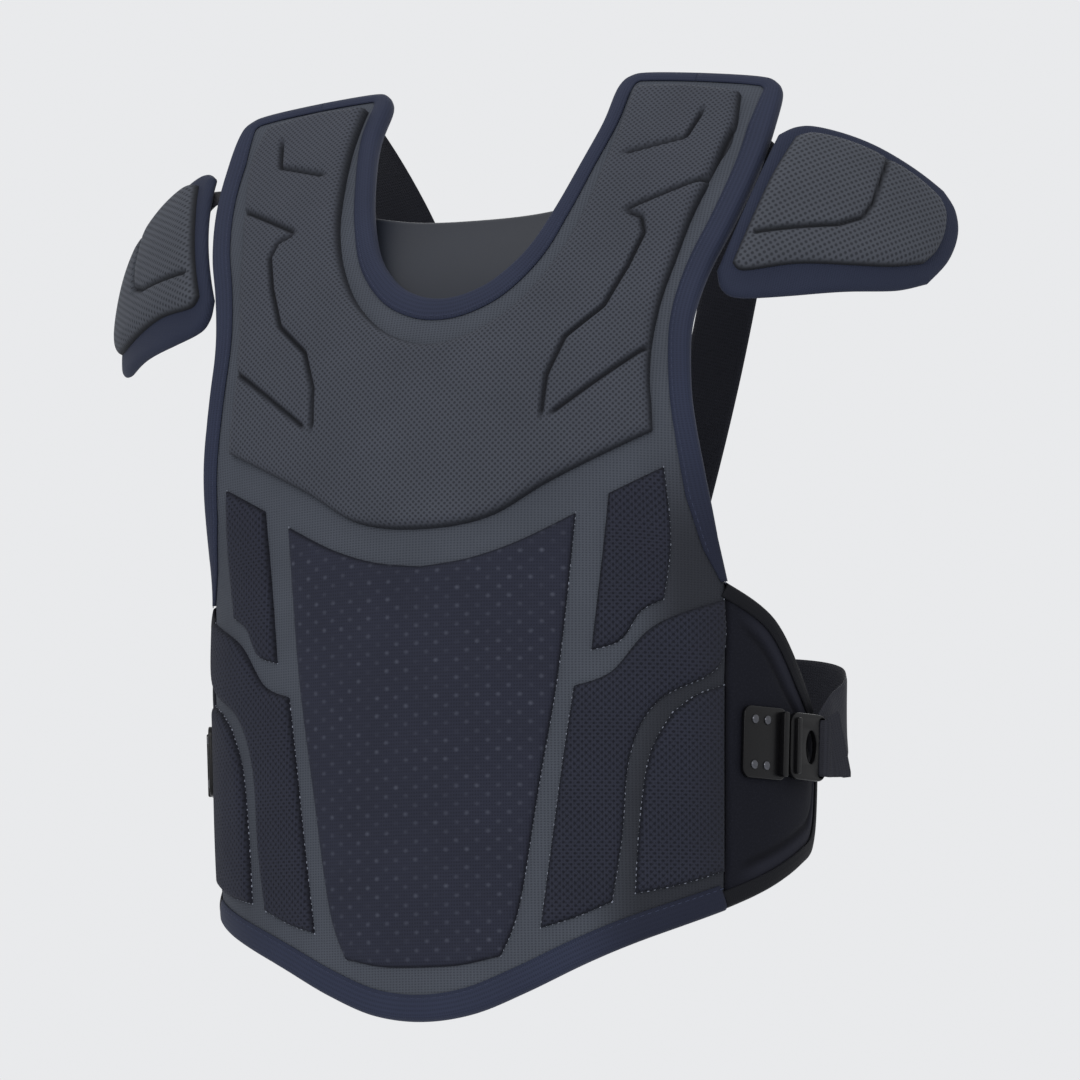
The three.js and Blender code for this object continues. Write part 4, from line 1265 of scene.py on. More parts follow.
@dataclass
class Front:
    """Moulded front: the shell with its grey strips, the chest pad and the mesh panels."""

    chest: RungOutline = RungOutline(
        top=((89, 57), (122, 56), (158, 60)),
        outer=(
            (158, 60), (161.5, 95), (155, 130), (148.5, 160), (143.5, 189), (138.5, 215),
            (136, 236), (135, 255), (135.5, 271), (137, 286), (138, 301),
        ),
        bottom=((0, 360), (41, 354), (79, 332), (138, 301)),
        inner=(
            (89, 57), (88.5, 92), (85, 128), (80, 160), (70, 190), (54, 217),
            (30, 238), (0, 247), (0, 285), (0, 322), (0, 360),
        ),
        neck_rungs=7,
    )
    center: Outline = Outline(
        top=((0, 382), (30, 378), (60, 368), (93, 351)),
        outer=((93, 351), (84, 440), (72, 514), (60, 585), (49, 614)),
        bottom=((0, 620), (25, 619), (49, 614)),
        inner=((0, 382), (0, 445), (0, 510), (0, 570), (0, 620)),
    )
    upper: Outline = Outline(
        top=((112, 339), (144, 322)),
        outer=((144, 322), (147, 365), (143, 403)),
        bottom=((102, 434), (119, 428), (130, 411), (143, 403)),
        inner=((112, 339), (107, 388), (102, 434)),
    )
    lower: Outline = Outline(
        top=((92, 455), (114, 446), (138, 419), (179.5, 401)),
        outer=((179.5, 401), (177, 440), (140, 463), (124, 495), (119, 545), (113, 583)),
        bottom=((72, 598), (92, 592), (113, 583)),
        inner=((92, 455), (86, 495), (80, 540), (72, 598)),
    )
    outer: Outline = Outline(
        top=((148, 470), (162, 459), (179.5, 452)),
        outer=((179.5, 452), (179.5, 510), (179.5, 564)),
        bottom=((126, 578), (150, 573), (179.5, 564)),
        inner=((148, 470), (135, 495), (129, 535), (126, 578)),
    )
    grooves: tuple[Places, ...] = (
        ((140, 79), (134, 103), (98, 117)),
        ((161, 88), (154.5, 133), (107.5, 160)),
        ((107.5, 160), (119, 165), (122.5, 176), (116, 199), (105, 226), (84, 246), (75, 270), (73, 296)),
        ((135, 249), (78, 294)),
    )
    shell_steps: tuple[int, int] = (70, 190)
    shell_edge: float = 4.0
    shell_thinning: tuple[float, float] = (1.6, 2.6)
    chest_steps: tuple[int, int] = (120, 190)
    chest_top: float = 17.0
    chest_edge: float = 7.0
    chest_base: float = 7.2
    chest_sunk: float = 0.4
    chest_rim: float = 3.0
    chest_rim_painted_shade: float = 0.8
    groove_step: float = 2.0
    groove_half_width: float = 2.5
    groove_depth: float = 3.6
    groove_fade: float = 5.0
    groove_ends: float = 0.35
    pillow_reach: float = 9.0
    pillow_depth: float = 0.7
    center_steps: tuple[int, int] = (44, 110)
    side_steps: tuple[int, int] = (36, 60)
    stitch_lift: float = 0.2

    def build_shell(self) -> None:
        """Shell with a soft edge. Its open face is the lattice of grey strips between the pads."""
        grid = SHELL.fine_grid(self.shell_steps)
        pad = Pad.over(grid, mirrored(grid))
        edge = rim_distance(np.abs(pad.flat), SHELL.free_rims())
        thin = 1.0 - quarter_round(edge, self.shell_edge)
        below, above = self.shell_thinning
        # Painted shade on the flanks, darkest on the left one.
        shade = FLANK_SHADE.at(pad.flat)
        piece = pad.build("vest_shell", TORSO.on, below * thin, SHELL_TOP - above * thin, seamward=shade)
        parts = ("flap", "chest_side", "belly_side")
        sides = [f"vest_{part}_{side.label}" for part in parts for side in Side]
        dress(piece, SHELL_KNIT, "moulded_foam_shell", "vest_chest", "vest_belly", *sides, fill=0.9)

    def pressed_grooves(self, half: Array) -> tuple[Array, Array]:
        """How deep the grooves are pressed into the chest pad, and how much painted shade lies in them.

        Args:
            half: Flat places, turned to the left half.

        Returns:
            Depth in millimetres and painted shade from 0 to 1, at each place.
        """
        pressed, dark = np.zeros(len(half)), np.zeros(len(half))
        for places in self.grooves:
            route = even_route(np.asarray(places, float), self.groove_step)
            gap, along = route_distance(half, route)
            left = np.linalg.norm(np.diff(route, axis=0), axis=1).sum() - along
            fade = smoothstep(along, 0.0, self.groove_fade) * smoothstep(left, 0.0, self.groove_fade)
            strength = self.groove_ends + (1.0 - self.groove_ends) * fade
            line = (1.0 - smoothstep(gap, 0.0, self.groove_half_width)) * strength
            pillow = (1.0 - smoothstep(gap, 0.0, self.pillow_reach)) * fade
            pressed = np.maximum(pressed, self.groove_depth * line + self.pillow_depth * pillow)
            dark = np.maximum(dark, line)
        return pressed, dark

    def build_chest(self) -> None:
        """Chest pad with a rounded edge and its pressed grooves."""
        columns, rows = (np.linspace(0.0, 1.0, steps + 1) for steps in self.chest_steps)
        grid = self.chest.grid(columns, rows)
        pad = Pad.over(grid, mirrored(grid))
        half = np.abs(pad.flat)
        edge = rim_distance(half, self.chest.free_rims())
        pressed, dark = self.pressed_grooves(half)
        rise = (self.chest_top - SHELL_TOP) * quarter_round(edge, self.chest_edge)
        # Painted shade in the grooves and along the pad's rim.
        painted_shade = np.maximum(dark, self.chest_rim_painted_shade * (1.0 - smoothstep(edge, 0.0, self.chest_rim)))
        top = SHELL_TOP - self.chest_sunk + rise - np.minimum(pressed, rise)
        piece = pad.build("chest_pad_moulded", TORSO.on, self.chest_base, top, painted_shade=painted_shade)
        dress(piece, CHEST_KNIT, "dimpled_foam_cover", "chest_pad", fill=0.9)

    def build_panels(self) -> None:
        """Mesh panels and the pale stitches along their strips."""
        BellyPanel(self.center, CENTER_MESH, self.center_steps).build("belly_panel_center", None)
        for side in Side:
            for label, outline in (("upper", self.upper), ("lower", self.lower), ("outer", self.outer)):
                panel = BellyPanel(outline, SIDE_MESH, self.side_steps)
                panel.build(f"belly_panel_{label}_{side.label}", side)
        rows = [self.center.rims("outer")[0], *self.lower.rims("inner", "outer", "bottom")]
        rows += self.outer.rims("inner", "bottom", "top") + self.upper.rims("outer", "bottom")
        height = SHELL_TOP + self.stitch_lift
        for side in Side:
            pieces = []
            for number, row in enumerate(rows):
                stitches = Stitching(side.flip(row), height, pitch=3.6, length=1.7, ragged=0.7)
                pieces.append(stitches.build(f"panel_stitch_{side.label}_{number}", TORSO))
            dress(joined(f"panel_stitching_{side.label}", pieces), PALE_THREAD, "knitted_mesh")

    def build(self) -> None:
        """Makes the whole front."""
        self.build_shell()
        self.build_chest()
        self.build_panels()


@dataclass(frozen=True)
class Band:
    """Folded tape round an edge. Each pair is a length down and the width of the front leg there.

    The fold is a half round of the roll's radius, which stands out above and below the shell by the lift. The
    front leg swells towards the fold and between its ends, and its seat has a height and a slope. The back
    leg has a height for each of its faces.
    """

    widths: tuple[tuple[float, float], ...]
    top: float = SHELL_TOP
    back_leg: float = 9.0
    tape: float = 1.2
    reach: float = 2.0
    roll: float = 4.0
    lift: float = 2.0
    swell: tuple[float, float] = (1.0, 0.6)
    free_edge: float = 1.0
    seat: tuple[float, float] = (0.2, 0.4)
    back_heights: tuple[float, float] = (-1.8, -0.6)
    step: float = 2.5
    eased: int = 9
    stitch_inset: float = 2.2
    stitch_lift: float = 1.5
    leg_points: int = 9
    fold_points: int = 15
    back_points: int = 4

    def leg(self, down: Array) -> Array:
        """Width of the front leg at lengths down."""
        return np.interp(down, *np.transpose(self.widths))

    def section(self, leg: Array) -> tuple[Array, Array]:
        """Rounded section of the tape for each width of its front leg.

        Args:
            leg: Widths of the front leg.

        Returns:
            Lengths in from the edge and heights, indexed by ring and place.
        """
        mid = self.top / 2
        share = np.linspace(1.0, 0.0, self.leg_points)[:-1]
        turn = np.radians(np.linspace(90, -90, self.fold_points))
        back = np.linspace(self.reach, self.back_leg, self.back_points)[1:]
        ones = np.ones((len(leg), 1))
        front = self.reach + (leg[:, None] - self.reach) * share
        fold = self.reach - self.roll * np.cos(turn)
        inner_fold = self.reach - (self.roll - self.tape) * np.cos(turn[::-1])
        to_fold, between = self.swell
        rise = mid + self.lift
        seat, slope = self.seat
        heights = [
            self.top + (self.free_edge + to_fold * (1 - share) + between * np.sin(np.pi * share)),
            mid + rise * np.sin(turn),
            np.full(len(back), self.back_heights[0]),
            np.full(len(back), self.back_heights[1]),
            mid + (rise - self.tape) * np.sin(turn[::-1]),
            self.top + seat + slope * (1 - share[::-1]),
        ]
        widths = [front, ones * fold, ones * back, ones * back[::-1], ones * inner_fold, front[:, ::-1]]
        return np.concatenate(widths, axis=1), ones * np.concatenate(heights)

    def build(self, name: str, route: Array, inward: float) -> bpy.types.Object:
        """Tape along a route of flat places.

        Args:
            name: Name of the object.
            route: Edge that the tape wraps.
            inward: 1 or -1, the side of the route on which the shell lies.

        Returns:
            The new object.
        """
        route = even_route(route, self.step)
        side = self.inward_way(route) * inward
        widths, heights = self.section(self.leg(route[:, 1]))
        flat = route[:, None] + side[:, None] * widths[..., None]
        rings = TORSO.on(flat.reshape(-1, 2), heights.ravel()).reshape(*widths.shape, 3)
        section = np.linspace(0.0, 2 * widths.max(), widths.shape[1])
        # The tape takes the painted shade of the flanks too.
        return sweep(name, rings, section, seamward=FLANK_SHADE.at(route))

    def inward_way(self, route: Array) -> Array:
        """Direction square to a route, eased over its corners.

        Args:
            route: Flat places along the edge.

        Returns:
            Unit vectors, one for each place.
        """
        way = np.gradient(route, axis=0)
        ends = self.eased // 2
        longer = np.concatenate([way[:1].repeat(ends, axis=0), way, way[-1:].repeat(ends, axis=0)])
        evenly = np.ones(self.eased) / self.eased
        eased = unit(np.stack([np.convolve(longer[:, k], evenly, mode="valid") for k in range(2)], axis=1))
        return np.stack([eased[:, 1], -eased[:, 0]], axis=1)

    def stitches(self, route: Array, inward: float) -> Stitching:
        """Row of stitches near the front leg's free edge.

        Args:
            route: Edge that the tape wraps.
            inward: 1 or -1, the side of the route on which the shell lies.

        Returns:
            The stitches.
        """
        route = even_route(route, self.step)
        side = self.inward_way(route) * inward
        inset = (self.leg(route[:, 1]) - self.stitch_inset)[:, None]
        height = self.top + self.stitch_lift
        return Stitching(route + side * inset, height, pitch=4.6, length=3.0, radius=0.3)


@dataclass
class Bindings:
    """Navy tapes round the neck, the armholes and the hem."""

    neck: Band = Band(((120, 9), (160, 10), (190, 12), (216, 14)))
    arm: Band = Band(((46, 9), (85, 13), (240, 11), (300, 11), (335, 13), (367, 10), (389, 4)))
    hem: Band = Band(((0, 14),))

    def lay(self, name: str, band: Band, route: Array, inward: float) -> None:
        """One tape with its row of stitches.

        Args:
            name: Name of the frame's node.
            band: Sizes of the tape.
            route: Edge that it wraps.
            inward: 1 or -1, the side of the route on which the shell lies.
        """
        dress(band.build(f"{name}_tape", route, inward), EDGE_TAPE, "navy_binding", name)
        thread = band.stitches(route, inward).build(f"{name}_stitching", TORSO)
        dress(thread, NAVY_THREAD, "navy_binding")

    def build(self) -> None:
        """Makes the tapes."""
        shares = np.linspace(0.0, 1.0, ROUTE_POINTS)
        crest = np.asarray(SHELL.top, float)
        neck = np.asarray(SHELL.inner[1 : SHELL.neck_rungs + 1], float)
        half = np.concatenate([crest[2::-1], neck])
        whole = np.concatenate([half, mirrored(half[-2::-1])])
        self.lay("neck_binding", self.neck, smooth_curve(whole, shares), 1.0)
        hem = np.asarray(SHELL.bottom, float)
        whole = np.concatenate([mirrored(hem[:0:-1]), hem])
        self.lay("hem_binding", self.hem, smooth_curve(whole, shares), 1.0)
        arm = np.concatenate([crest[2:], np.asarray(SHELL.outer[1:12], float)])
        for side in Side:
            route = side.flip(smooth_curve(arm, shares))
            self.lay(f"arm_binding_{side.label}", self.arm, route, -side.sign)


@dataclass
class ThroatGuard:
    """Smooth crescent behind the neckline that leans in towards the throat."""

    outline: Outline = Outline(
        top=((-80, 131), (-40, 141), (0, 143.5), (40, 141), (80, 131)),
        outer=((80, 131), (80, 145), (80, 160)),
        bottom=((-80, 160), (-58, 205), (-30, 231), (0, 241), (30, 231), (58, 205), (80, 160)),
        inner=((-80, 131), (-80, 145), (-80, 160)),
    )
    steps: tuple[int, int] = (120, 50)
    front: float = -2.5
    thickness: float = 3.5
    edge: float = 3.0
    lip: float = 0.1
    lean: float = 8.0
    lean_from: float = 135.0
    lean_to: float = 210.0

    def build(self) -> None:
        """Makes the guard with a rolled edge."""
        pad = Pad.over(self.outline.fine_grid(self.steps))
        edge = rim_distance(pad.flat, self.outline.rims())
        upright = 1.0 - smoothstep(pad.flat[:, 1], self.lean_from, self.lean_to)
        face = self.front - self.lean * upright
        roll = (self.thickness / 2 - self.lip) * (1.0 - quarter_round(edge, self.edge))
        piece = pad.build("throat_guard_skin", TORSO.on, face - self.thickness + roll, face - roll)
        dress(piece, THROAT_SKIN, "smooth_foam_cover", "throat_guard", fill=0.9)


@dataclass
class ShoulderCap:
    """Cap over one shoulder point: the navy-edged base and the dimpled pad on it."""

    side: Side
    outline: Outline = Outline(
        top=((-52, -1), (-62, 8), (-67, 21), (-68.5, 50), (-65, 80), (-60, 107)),
        outer=((-60, 107), (-51, 119.5), (-35, 126), (-14, 123.5), (8, 112.5)),
        bottom=((48, -16), (58, -11), (61, 0), (53, 26), (38, 60), (23, 92), (8, 112.5)),
        inner=((-52, -1), (0, -8.5), (48, -16)),
    )
    pad: Outline = Outline(
        top=((-50, 9), (-57, 20), (-59, 48), (-55, 82), (-49, 103)),
        outer=((-49, 103), (-41, 110), (-27, 112.5), (-12, 110), (0, 103.5)),
        bottom=((42, -8), (45, 0), (33, 28), (22, 60), (12, 84), (0, 103.5)),
        inner=((-50, 9), (-20, 2), (10, -3), (42, -8)),
    )
    groove: Places = ((22, 1), (3, 45), (-7, 57.5), (-19, 61.5), (-55, 64))
    steps: tuple[int, int] = (70, 60)
    top: float = 7.0
    edge: float = 5.0
    split: float = 0.45
    lip: float = 0.1
    pad_steps: tuple[int, int] = (110, 96)
    pad_top: float = 14.0
    pad_edge: float = 9.5
    pad_sunk: tuple[float, float] = (1.0, 0.3)
    pad_rim: float = 2.5
    pad_rim_painted_shade: float = 0.9
    groove_step: float = 2.0
    groove_half_width: float = 2.4
    groove_depth: float = 3.4
    groove_start: float = 5.0
    pillow_reach: float = 9.0
    pillow_depth: float = 0.7
    press_limit: float = 0.9

    def build(self) -> None:
        """Makes the base and the pad."""
        form = CapForm(self.side)
        self.build_base(form)
        self.build_pad(form)

    def build_base(self, form: CapForm) -> None:
        """Base with a full round edge, whose two halves meet a little below the middle.

        Args:
            form: Dish that carries it.
        """
        base = Pad.over(self.outline.fine_grid(self.steps))
        edge = rim_distance(base.flat, self.outline.rims())
        mid = self.split * self.top
        round_over = quarter_round(edge, self.edge)
        upper = mid + self.lip + (self.top - mid - self.lip) * round_over
        lower = mid - self.lip - (mid - self.lip) * round_over
        name = f"shoulder_cap_{self.side.label}"
        piece = base.build(f"{name}_base", form.on, lower, upper)
        dress(piece, CAP_EDGE, "navy_binding", name, fill=0.9)

    def build_pad(self, form: CapForm) -> None:
        """Pad with its pressed groove, and painted shade in the groove and along the rim.

        Args:
            form: Dish that carries it.
        """
        pad = Pad.over(self.pad.fine_grid(self.pad_steps))
        edge = rim_distance(pad.flat, self.pad.rims())
        gap, _ = route_distance(pad.flat, even_route(np.asarray(self.groove, float), self.groove_step))
        line = 1.0 - smoothstep(gap, 0.0, self.groove_half_width)
        pillow = 1.0 - smoothstep(gap, 0.0, self.pillow_reach)
        rise = (self.pad_top - self.top) * quarter_round(edge, self.pad_edge)
        wanted = self.groove_depth * line + self.pillow_depth * pillow
        pressed = np.minimum(wanted, self.press_limit * rise)
        # Painted shade along the pad's rim and in its groove, which starts a little in from the rim.
        rim = self.pad_rim_painted_shade * (1.0 - smoothstep(edge, 0.0, self.pad_rim))
        painted_shade = np.maximum(line * smoothstep(edge, 0.0, self.groove_start), rim)
        below, above = self.pad_sunk
        upper = self.top - above + rise - pressed
        name = f"shoulder_cap_pad_{self.side.label}"
        piece = pad.build(f"{name}_moulded", form.on, self.top - below, upper, painted_shade=painted_shade)
        dress(piece, CAP_KNIT, "dimpled_foam_cover", name, fill=0.9)


@dataclass
class Wing:
    """Soft wing behind one side seam, with black tape round its free edge."""

    side: Side
    outline: Outline = Outline(
        top=((181.6, 391), (217, 410), (247, 441), (284, 472)),
        outer=((284, 472), (297, 492), (297, 522), (280, 545)),
        bottom=((181.6, 585), (214, 573), (252, 557), (280, 545)),
        inner=((181.6, 391), (181.6, 455), (181.6, 520), (181.6, 585)),
    )
    steps: tuple[int, int] = (70, 80)
    top: float = 7.5
    edge: float = 4.0
    thinning: tuple[float, float] = (1.6, 2.4)
    contour: float = 19.0
    contour_half_width: float = 4.5
    contour_depth: float = 2.0
    contour_shade: float = 0.7
    contour_from_seam: tuple[float, float] = (4.0, 22.0)
    seam_reach: float = 4.0
    seam_dip: float = 1.4
    seam_line: float = 2.5
    puff: float = 0.8
    puff_reach: float = 20.0
    # Painted highlight on the raised border between the edge and the contour: where it rises, falls and
    # starts.
    border_highlight_in: tuple[float, float] = (8.0, 11.0)
    border_highlight_out: tuple[float, float] = (14.0, 18.0)
    border_highlight_from_seam: tuple[float, float] = (4.0, 30.0)

    def build(self) -> None:
        """Makes the wing with its pressed contour, and the tape."""
        pad = Pad.over(self.side.flip(self.outline.fine_grid(self.steps)))
        half = self.side.flip(pad.flat)
        edge = rim_distance(half, self.outline.rims("top", "outer", "bottom"))
        seam = half[:, 0] - self.outline.inner[0][0]
        line = 1.0 - smoothstep(np.abs(edge - self.contour), 0.0, self.contour_half_width)
        line = line * smoothstep(seam, *self.contour_from_seam)
        dip = self.seam_dip * (1.0 - smoothstep(seam, 0.0, self.seam_reach))
        puff = self.puff * smoothstep(edge, self.contour, self.contour + self.puff_reach)
        thin = 1.0 - quarter_round(edge, self.edge)
        below, above = self.thinning
        upper = self.top + puff - above * thin - dip - self.contour_depth * line
        # Painted shade in the contour's groove and along the seam.
        painted_shade = np.maximum(self.contour_shade * line, 1.0 - smoothstep(seam, 0.0, self.seam_line))
        # Painted highlight on the raised border outside the contour.
        border = smoothstep(edge, *self.border_highlight_in) * (1.0 - smoothstep(edge, *self.border_highlight_out))
        border = border * smoothstep(seam, *self.border_highlight_from_seam)
        name = f"wing_{self.side.label}"
        fields = {"painted_shade": painted_shade, "border": border}
        piece = pad.build(f"{name}_knit", TORSO.on, below * thin, upper, **fields)
        dress(piece, WING_KNIT, "wing_fabric", name, fill=0.7)

        places = [*self.outline.top, *self.outline.outer[1:], *self.outline.bottom[-2::-1]]
        route = self.side.flip(smooth_curve(places, np.linspace(0.0, 1.0, ROUTE_POINTS)))
        band = Band(((0, 9),), top=self.top)
        name = f"wing_binding_{self.side.label}"
        dress(band.build(f"{name}_tape", route, -self.side.sign), WING_TAPE, "wing_fabric", name)


# Straps and buckles


def centripetal_curve(points: Array, shares: Array) -> Array:
    """Smooth curve through points in space that doesn't overshoot where they lie unevenly.

    Args:
        points: Points that the curve passes through.
        shares: Where to sample it, with equal shares between the points.

    Returns:
        One point for each share.
    """
    last = len(points) - 1
    ghost = np.concatenate([[2 * points[0] - points[1]], points, [2 * points[-1] - points[-2]]])
    steps = np.sqrt(np.linalg.norm(np.diff(ghost, axis=0), axis=1))
    at = shares * last
    i = np.minimum(at.astype(int), last - 1)
    t = (at - i)[:, None]
    p0, p1, p2, p3 = (ghost[i + k] for k in range(4))
    d0, d1, d2 = (steps[i + k][:, None] for k in range(3))
    lead = ((p1 - p0) / d0 - (p2 - p0) / (d0 + d1) + (p2 - p1) / d1) * d1
    trail = ((p2 - p1) / d1 - (p3 - p1) / (d1 + d2) + (p3 - p2) / d2) * d1
    return run_between(p1, p2, lead, trail, t)


@dataclass
class Strap:
    """Flat webbing through stops, each with its middle, the way of its width and its width."""

    middle: Array
    across: Array
    width: Array
    thickness: float = 2.3
    run: int = 15
    squareness: int = 12
    edge: float = 0.25

    def build(self, name: str) -> bpy.types.Object:
        """Webbing with rounded edges.

        Args:
            name: Name of the object.

        Returns:
            The new object.
        """
        along = unit(np.gradient(self.middle, axis=0))
        wide = unit(self.across - along * np.einsum("ij,ij->i", self.across, along)[:, None])
        thick = np.cross(along, wide)
        half = self.thickness / 2
        run = np.linspace(-1.0, 1.0, self.run)
        crown = half * np.sqrt(np.clip(1.0 - np.abs(run) ** self.squareness, 0.0, 1.0))
        crown[[0, -1]] = self.edge * half
        section_w = np.concatenate([run, run[::-1]])
        section_h = np.concatenate([crown, -crown[::-1]])
        reach = self.width[:, None] / 2 * section_w
        raised = thick[:, None] * section_h[None, :, None]
        rings = self.middle[:, None] + wide[:, None] * reach[..., None] + raised
        return sweep(name, rings, section_w * float(np.mean(self.width)) / 2)


@dataclass
class BuckleFrame:
    """Place of the buckle on one wing: x runs to the rear, z straight out of the wing."""

    side: Side
    across: float = 208
    down: float = 485
    height: float = 7.5

    @cached_property
    def axes(self) -> Array:
        """Directions of the buckle's own frame.

        Returns:
            Rows of the rear, upward and outward directions.
        """
        flat = np.array([[self.side.sign * self.across, self.down]])
        right, _, out = TORSO.frame(flat)
        rear = right[0] * self.side.sign
        return np.stack([rear, np.cross(out[0], rear), out[0]])

    @cached_property
    def origin(self) -> Array:
        """Middle of the buckle plate's seat."""
        return TORSO.on(np.array([[self.side.sign * self.across, self.down]]), self.height)[0]

    def world(self, local: Array) -> Array:
        """Points of the buckle's own frame, in the part's."""
        return self.origin + local @ self.axes


@dataclass
class Buckle:
    """Riveted plate on a wing with a hook behind it, as moulded in black nylon."""

    side: Side
    plate: tuple[float, float, float] = (38, 43, 3)
    plate_corner: float = 6
    plate_bar: tuple[float, float, float] = (4.5, 39, 4)
    hook: tuple[float, float, float] = (37, 40, 4)
    hook_corner: float = 8
    hook_lift: float = 2
    hook_wall: float = 3.5
    hook_tilt: float = 6
    hook_bar: tuple[float, float, float] = (4, 34, 2.5)
    hook_bar_inset: float = 6
    finger_hole: tuple[float, float, float] = (21, 5.5, 10)
    slot: tuple[float, float] = (4.6, 35.5)
    slot_corner: float = 1.5
    bar_corner: float = 1.6
    bar_setback: float = 1.5
    rivet_radius: float = 2.8
    rivet_rise: float = 1.4
    rivet_inset: tuple[float, float] = (9, 8)
    rivet_profile: Places = ((1.0, -0.6), (1.0, 0.25), (0.92, 0.6), (0.7, 0.9), (0.35, 1.0))
    rivet_sides: int = 20
    hole_sides: int = 32
    corner_points: int = 9
    gap: float = 0.5
    edge: float = 0.8
    edge_steps: int = 3
    weld_decimals: int = 4

    @property
    def seat(self) -> BuckleFrame:
        """Frame of the plate on its wing."""
        return BuckleFrame(self.side)

    def hook_place(self, local: Array) -> Array:
        """Turns points of the hook's own frame, which starts behind the bar and tilts in to the wing.

        Args:
            local: Points of the hook.

        Returns:
            The same points in the plate's frame.
        """
        tilt = math.radians(self.hook_tilt)
        c, s = math.cos(tilt), math.sin(tilt)
        turn = np.array([[c, 0, -s], [0, 1, 0], [s, 0, c]])
        return local @ turn + np.array([self.plate[0] / 2 + self.gap, 0, self.hook_lift])

    @property
    def slot_x(self) -> float:
        """Middle of the hook's slot along the hook."""
        return self.hook[0] - self.hook_wall - self.slot[0] / 2

    def rounded_rectangle(self, length: float, height: float, radius: float) -> Array:
        """Flat outline from x = 0 to length, with round corners.

        Args:
            length: Size along x.
            height: Size along y, about the middle.
            radius: Radius of the corners.

        Returns:
            Points of the outline.
        """
        corners = ((length - radius, -1, -90), (length - radius, 1, 0), (radius, 1, 90), (radius, -1, 180))
        points = []
        for x, row, start in corners:
            angle = np.radians(start + np.linspace(0, 90, self.corner_points))
            y = row * (height / 2 - radius)
            points.append(np.stack([x + radius * np.cos(angle), y + radius * np.sin(angle)], axis=1))
        return np.concatenate(points)

    def moulded(self, name: str, loops: Sequence[Array], depth: float, lift: float) -> bpy.types.Object:
        """Plate from a flat outline and its holes, with rounded edges.

        Args:
            name: Name of the object.
            loops: The outline, then the holes.
            depth: Thickness.
            lift: Height of its underside.

        Returns:
            Object in its own frame.
        """
        curve = bpy.data.curves.new(name, "CURVE")
        curve.dimensions = "2D"
        curve.fill_mode = "BOTH"
        for loop in loops:
            spline = curve.splines.new("POLY")
            spline.points.add(len(loop) - 1)
            spline.points.foreach_set("co", np.pad(loop, ((0, 0), (0, 2))).ravel())
            spline.use_cyclic_u = True
        curve.offset = -self.edge
        curve.extrude = depth / 2 - self.edge
        curve.bevel_depth = self.edge
        curve.bevel_resolution = self.edge_steps
        drawn = bpy.data.objects.new(name, curve)
        bpy.context.scene.collection.objects.link(drawn)
        graph = bpy.context.evaluated_depsgraph_get()
        mesh = bpy.data.meshes.new_from_object(drawn.evaluated_get(graph))
        bpy.data.objects.remove(drawn)
        points = np.zeros(len(mesh.vertices) * 3)
        mesh.vertices.foreach_get("co", points)
        points = points.reshape(-1, 3) + np.array([0, 0, lift + depth / 2])
        rounded = np.round(points, self.weld_decimals)
        _, first, number = np.unique(rounded, axis=0, return_index=True, return_inverse=True)
        number = number.reshape(-1)
        faces = [list(dict.fromkeys(int(number[v]) for v in f.vertices)) for f in mesh.polygons]
        faces = [f for f in faces if len(f) > 2]
        bpy.data.meshes.remove(mesh)
        return mesh_object(name, points[first], faces, {})

    def rivet(self, name: str, x: float, y: float, base: float) -> bpy.types.Object:
        """Domed rivet head.

        Args:
            name: Name of the object.
            x: Place along the plate.
            y: Place up the plate.
            base: Height that it stands on.

        Returns:
            Object in the plate's own frame.
        """
        angle = np.linspace(0, 2 * np.pi, self.rivet_sides, endpoint=False)
        circle = np.stack([np.cos(angle), np.sin(angle)], axis=1)
        rings = []
        for radius, height in self.rivet_profile:
            ring = circle * radius * self.rivet_radius
            rings.append(np.pad(ring, ((0, 0), (0, 1)), constant_values=base + height * self.rivet_rise))
        points = np.concatenate(rings) + np.array([x, y, 0])
        faces = outward(points, tube_faces(len(rings), self.rivet_sides))
        return mesh_object(name, points, faces, {})

    def settle(
        self, name: str, pieces: Sequence[bpy.types.Object], finish: Finish, hooked: bool, *nodes: str
    ) -> None:
        """Joins loose pieces, moves them to their place on the wing and dresses them.

        Args:
            name: Name of the joined piece.
            pieces: Objects in a local frame.
            finish: Their surface.
            hooked: Whether that is the hook's frame.
            nodes: Nodes of the frame that they stand for.
        """
        piece = joined(name, pieces)
        points = np.zeros(len(piece.data.vertices) * 3)
        piece.data.vertices.foreach_get("co", points)
        local = points.reshape(-1, 3) / MM
        placed = self.seat.world(self.hook_place(local) if hooked else local) * MM
        piece.data.vertices.foreach_set("co", placed.ravel())
        flat = piece.data.attributes.new("flat_mm", "FLOAT_VECTOR", "POINT")
        flat.data.foreach_set("vector", local.astype(np.float32).ravel())
        piece.data.update()
        dress(piece, finish, "black_plastic", *nodes)

    def build(self) -> None:
        """Makes the plate and the hook."""
        self.build_plate()
        self.build_hook()

    def build_plate(self) -> None:
        """Plate with its bar and rivets."""
        length, height, depth = self.plate
        bar_l, bar_h, bar_rise = self.plate_bar
        shift = np.array([-length / 2, 0.0])
        plate = self.rounded_rectangle(length, height, self.plate_corner) + shift
        bar = self.rounded_rectangle(bar_l, bar_h, self.bar_corner) + shift
        bar = bar + np.array([length - self.bar_setback * bar_l, 0.0])
        pieces = [
            self.moulded("plate", [plate], depth, self.gap),
            self.moulded("plate_bar", [bar], depth / 2 + bar_rise, self.gap + depth / 2),
        ]
        name = f"buckle_plate_{self.side.label}"
        self.settle(f"{name}_moulded", pieces, BUCKLE_NYLON, False, name)
        rivets = []
        for x in (self.rivet_inset[0], length - 2 * self.rivet_inset[0]):
            for row in (-1, 1):
                y = row * (height / 2 - self.rivet_inset[1])
                rivets.append(self.rivet("rivet", x - length / 2, y, self.gap + depth))
        self.settle(f"buckle_rivets_{self.side.label}", rivets, RIVET_STEEL, False)

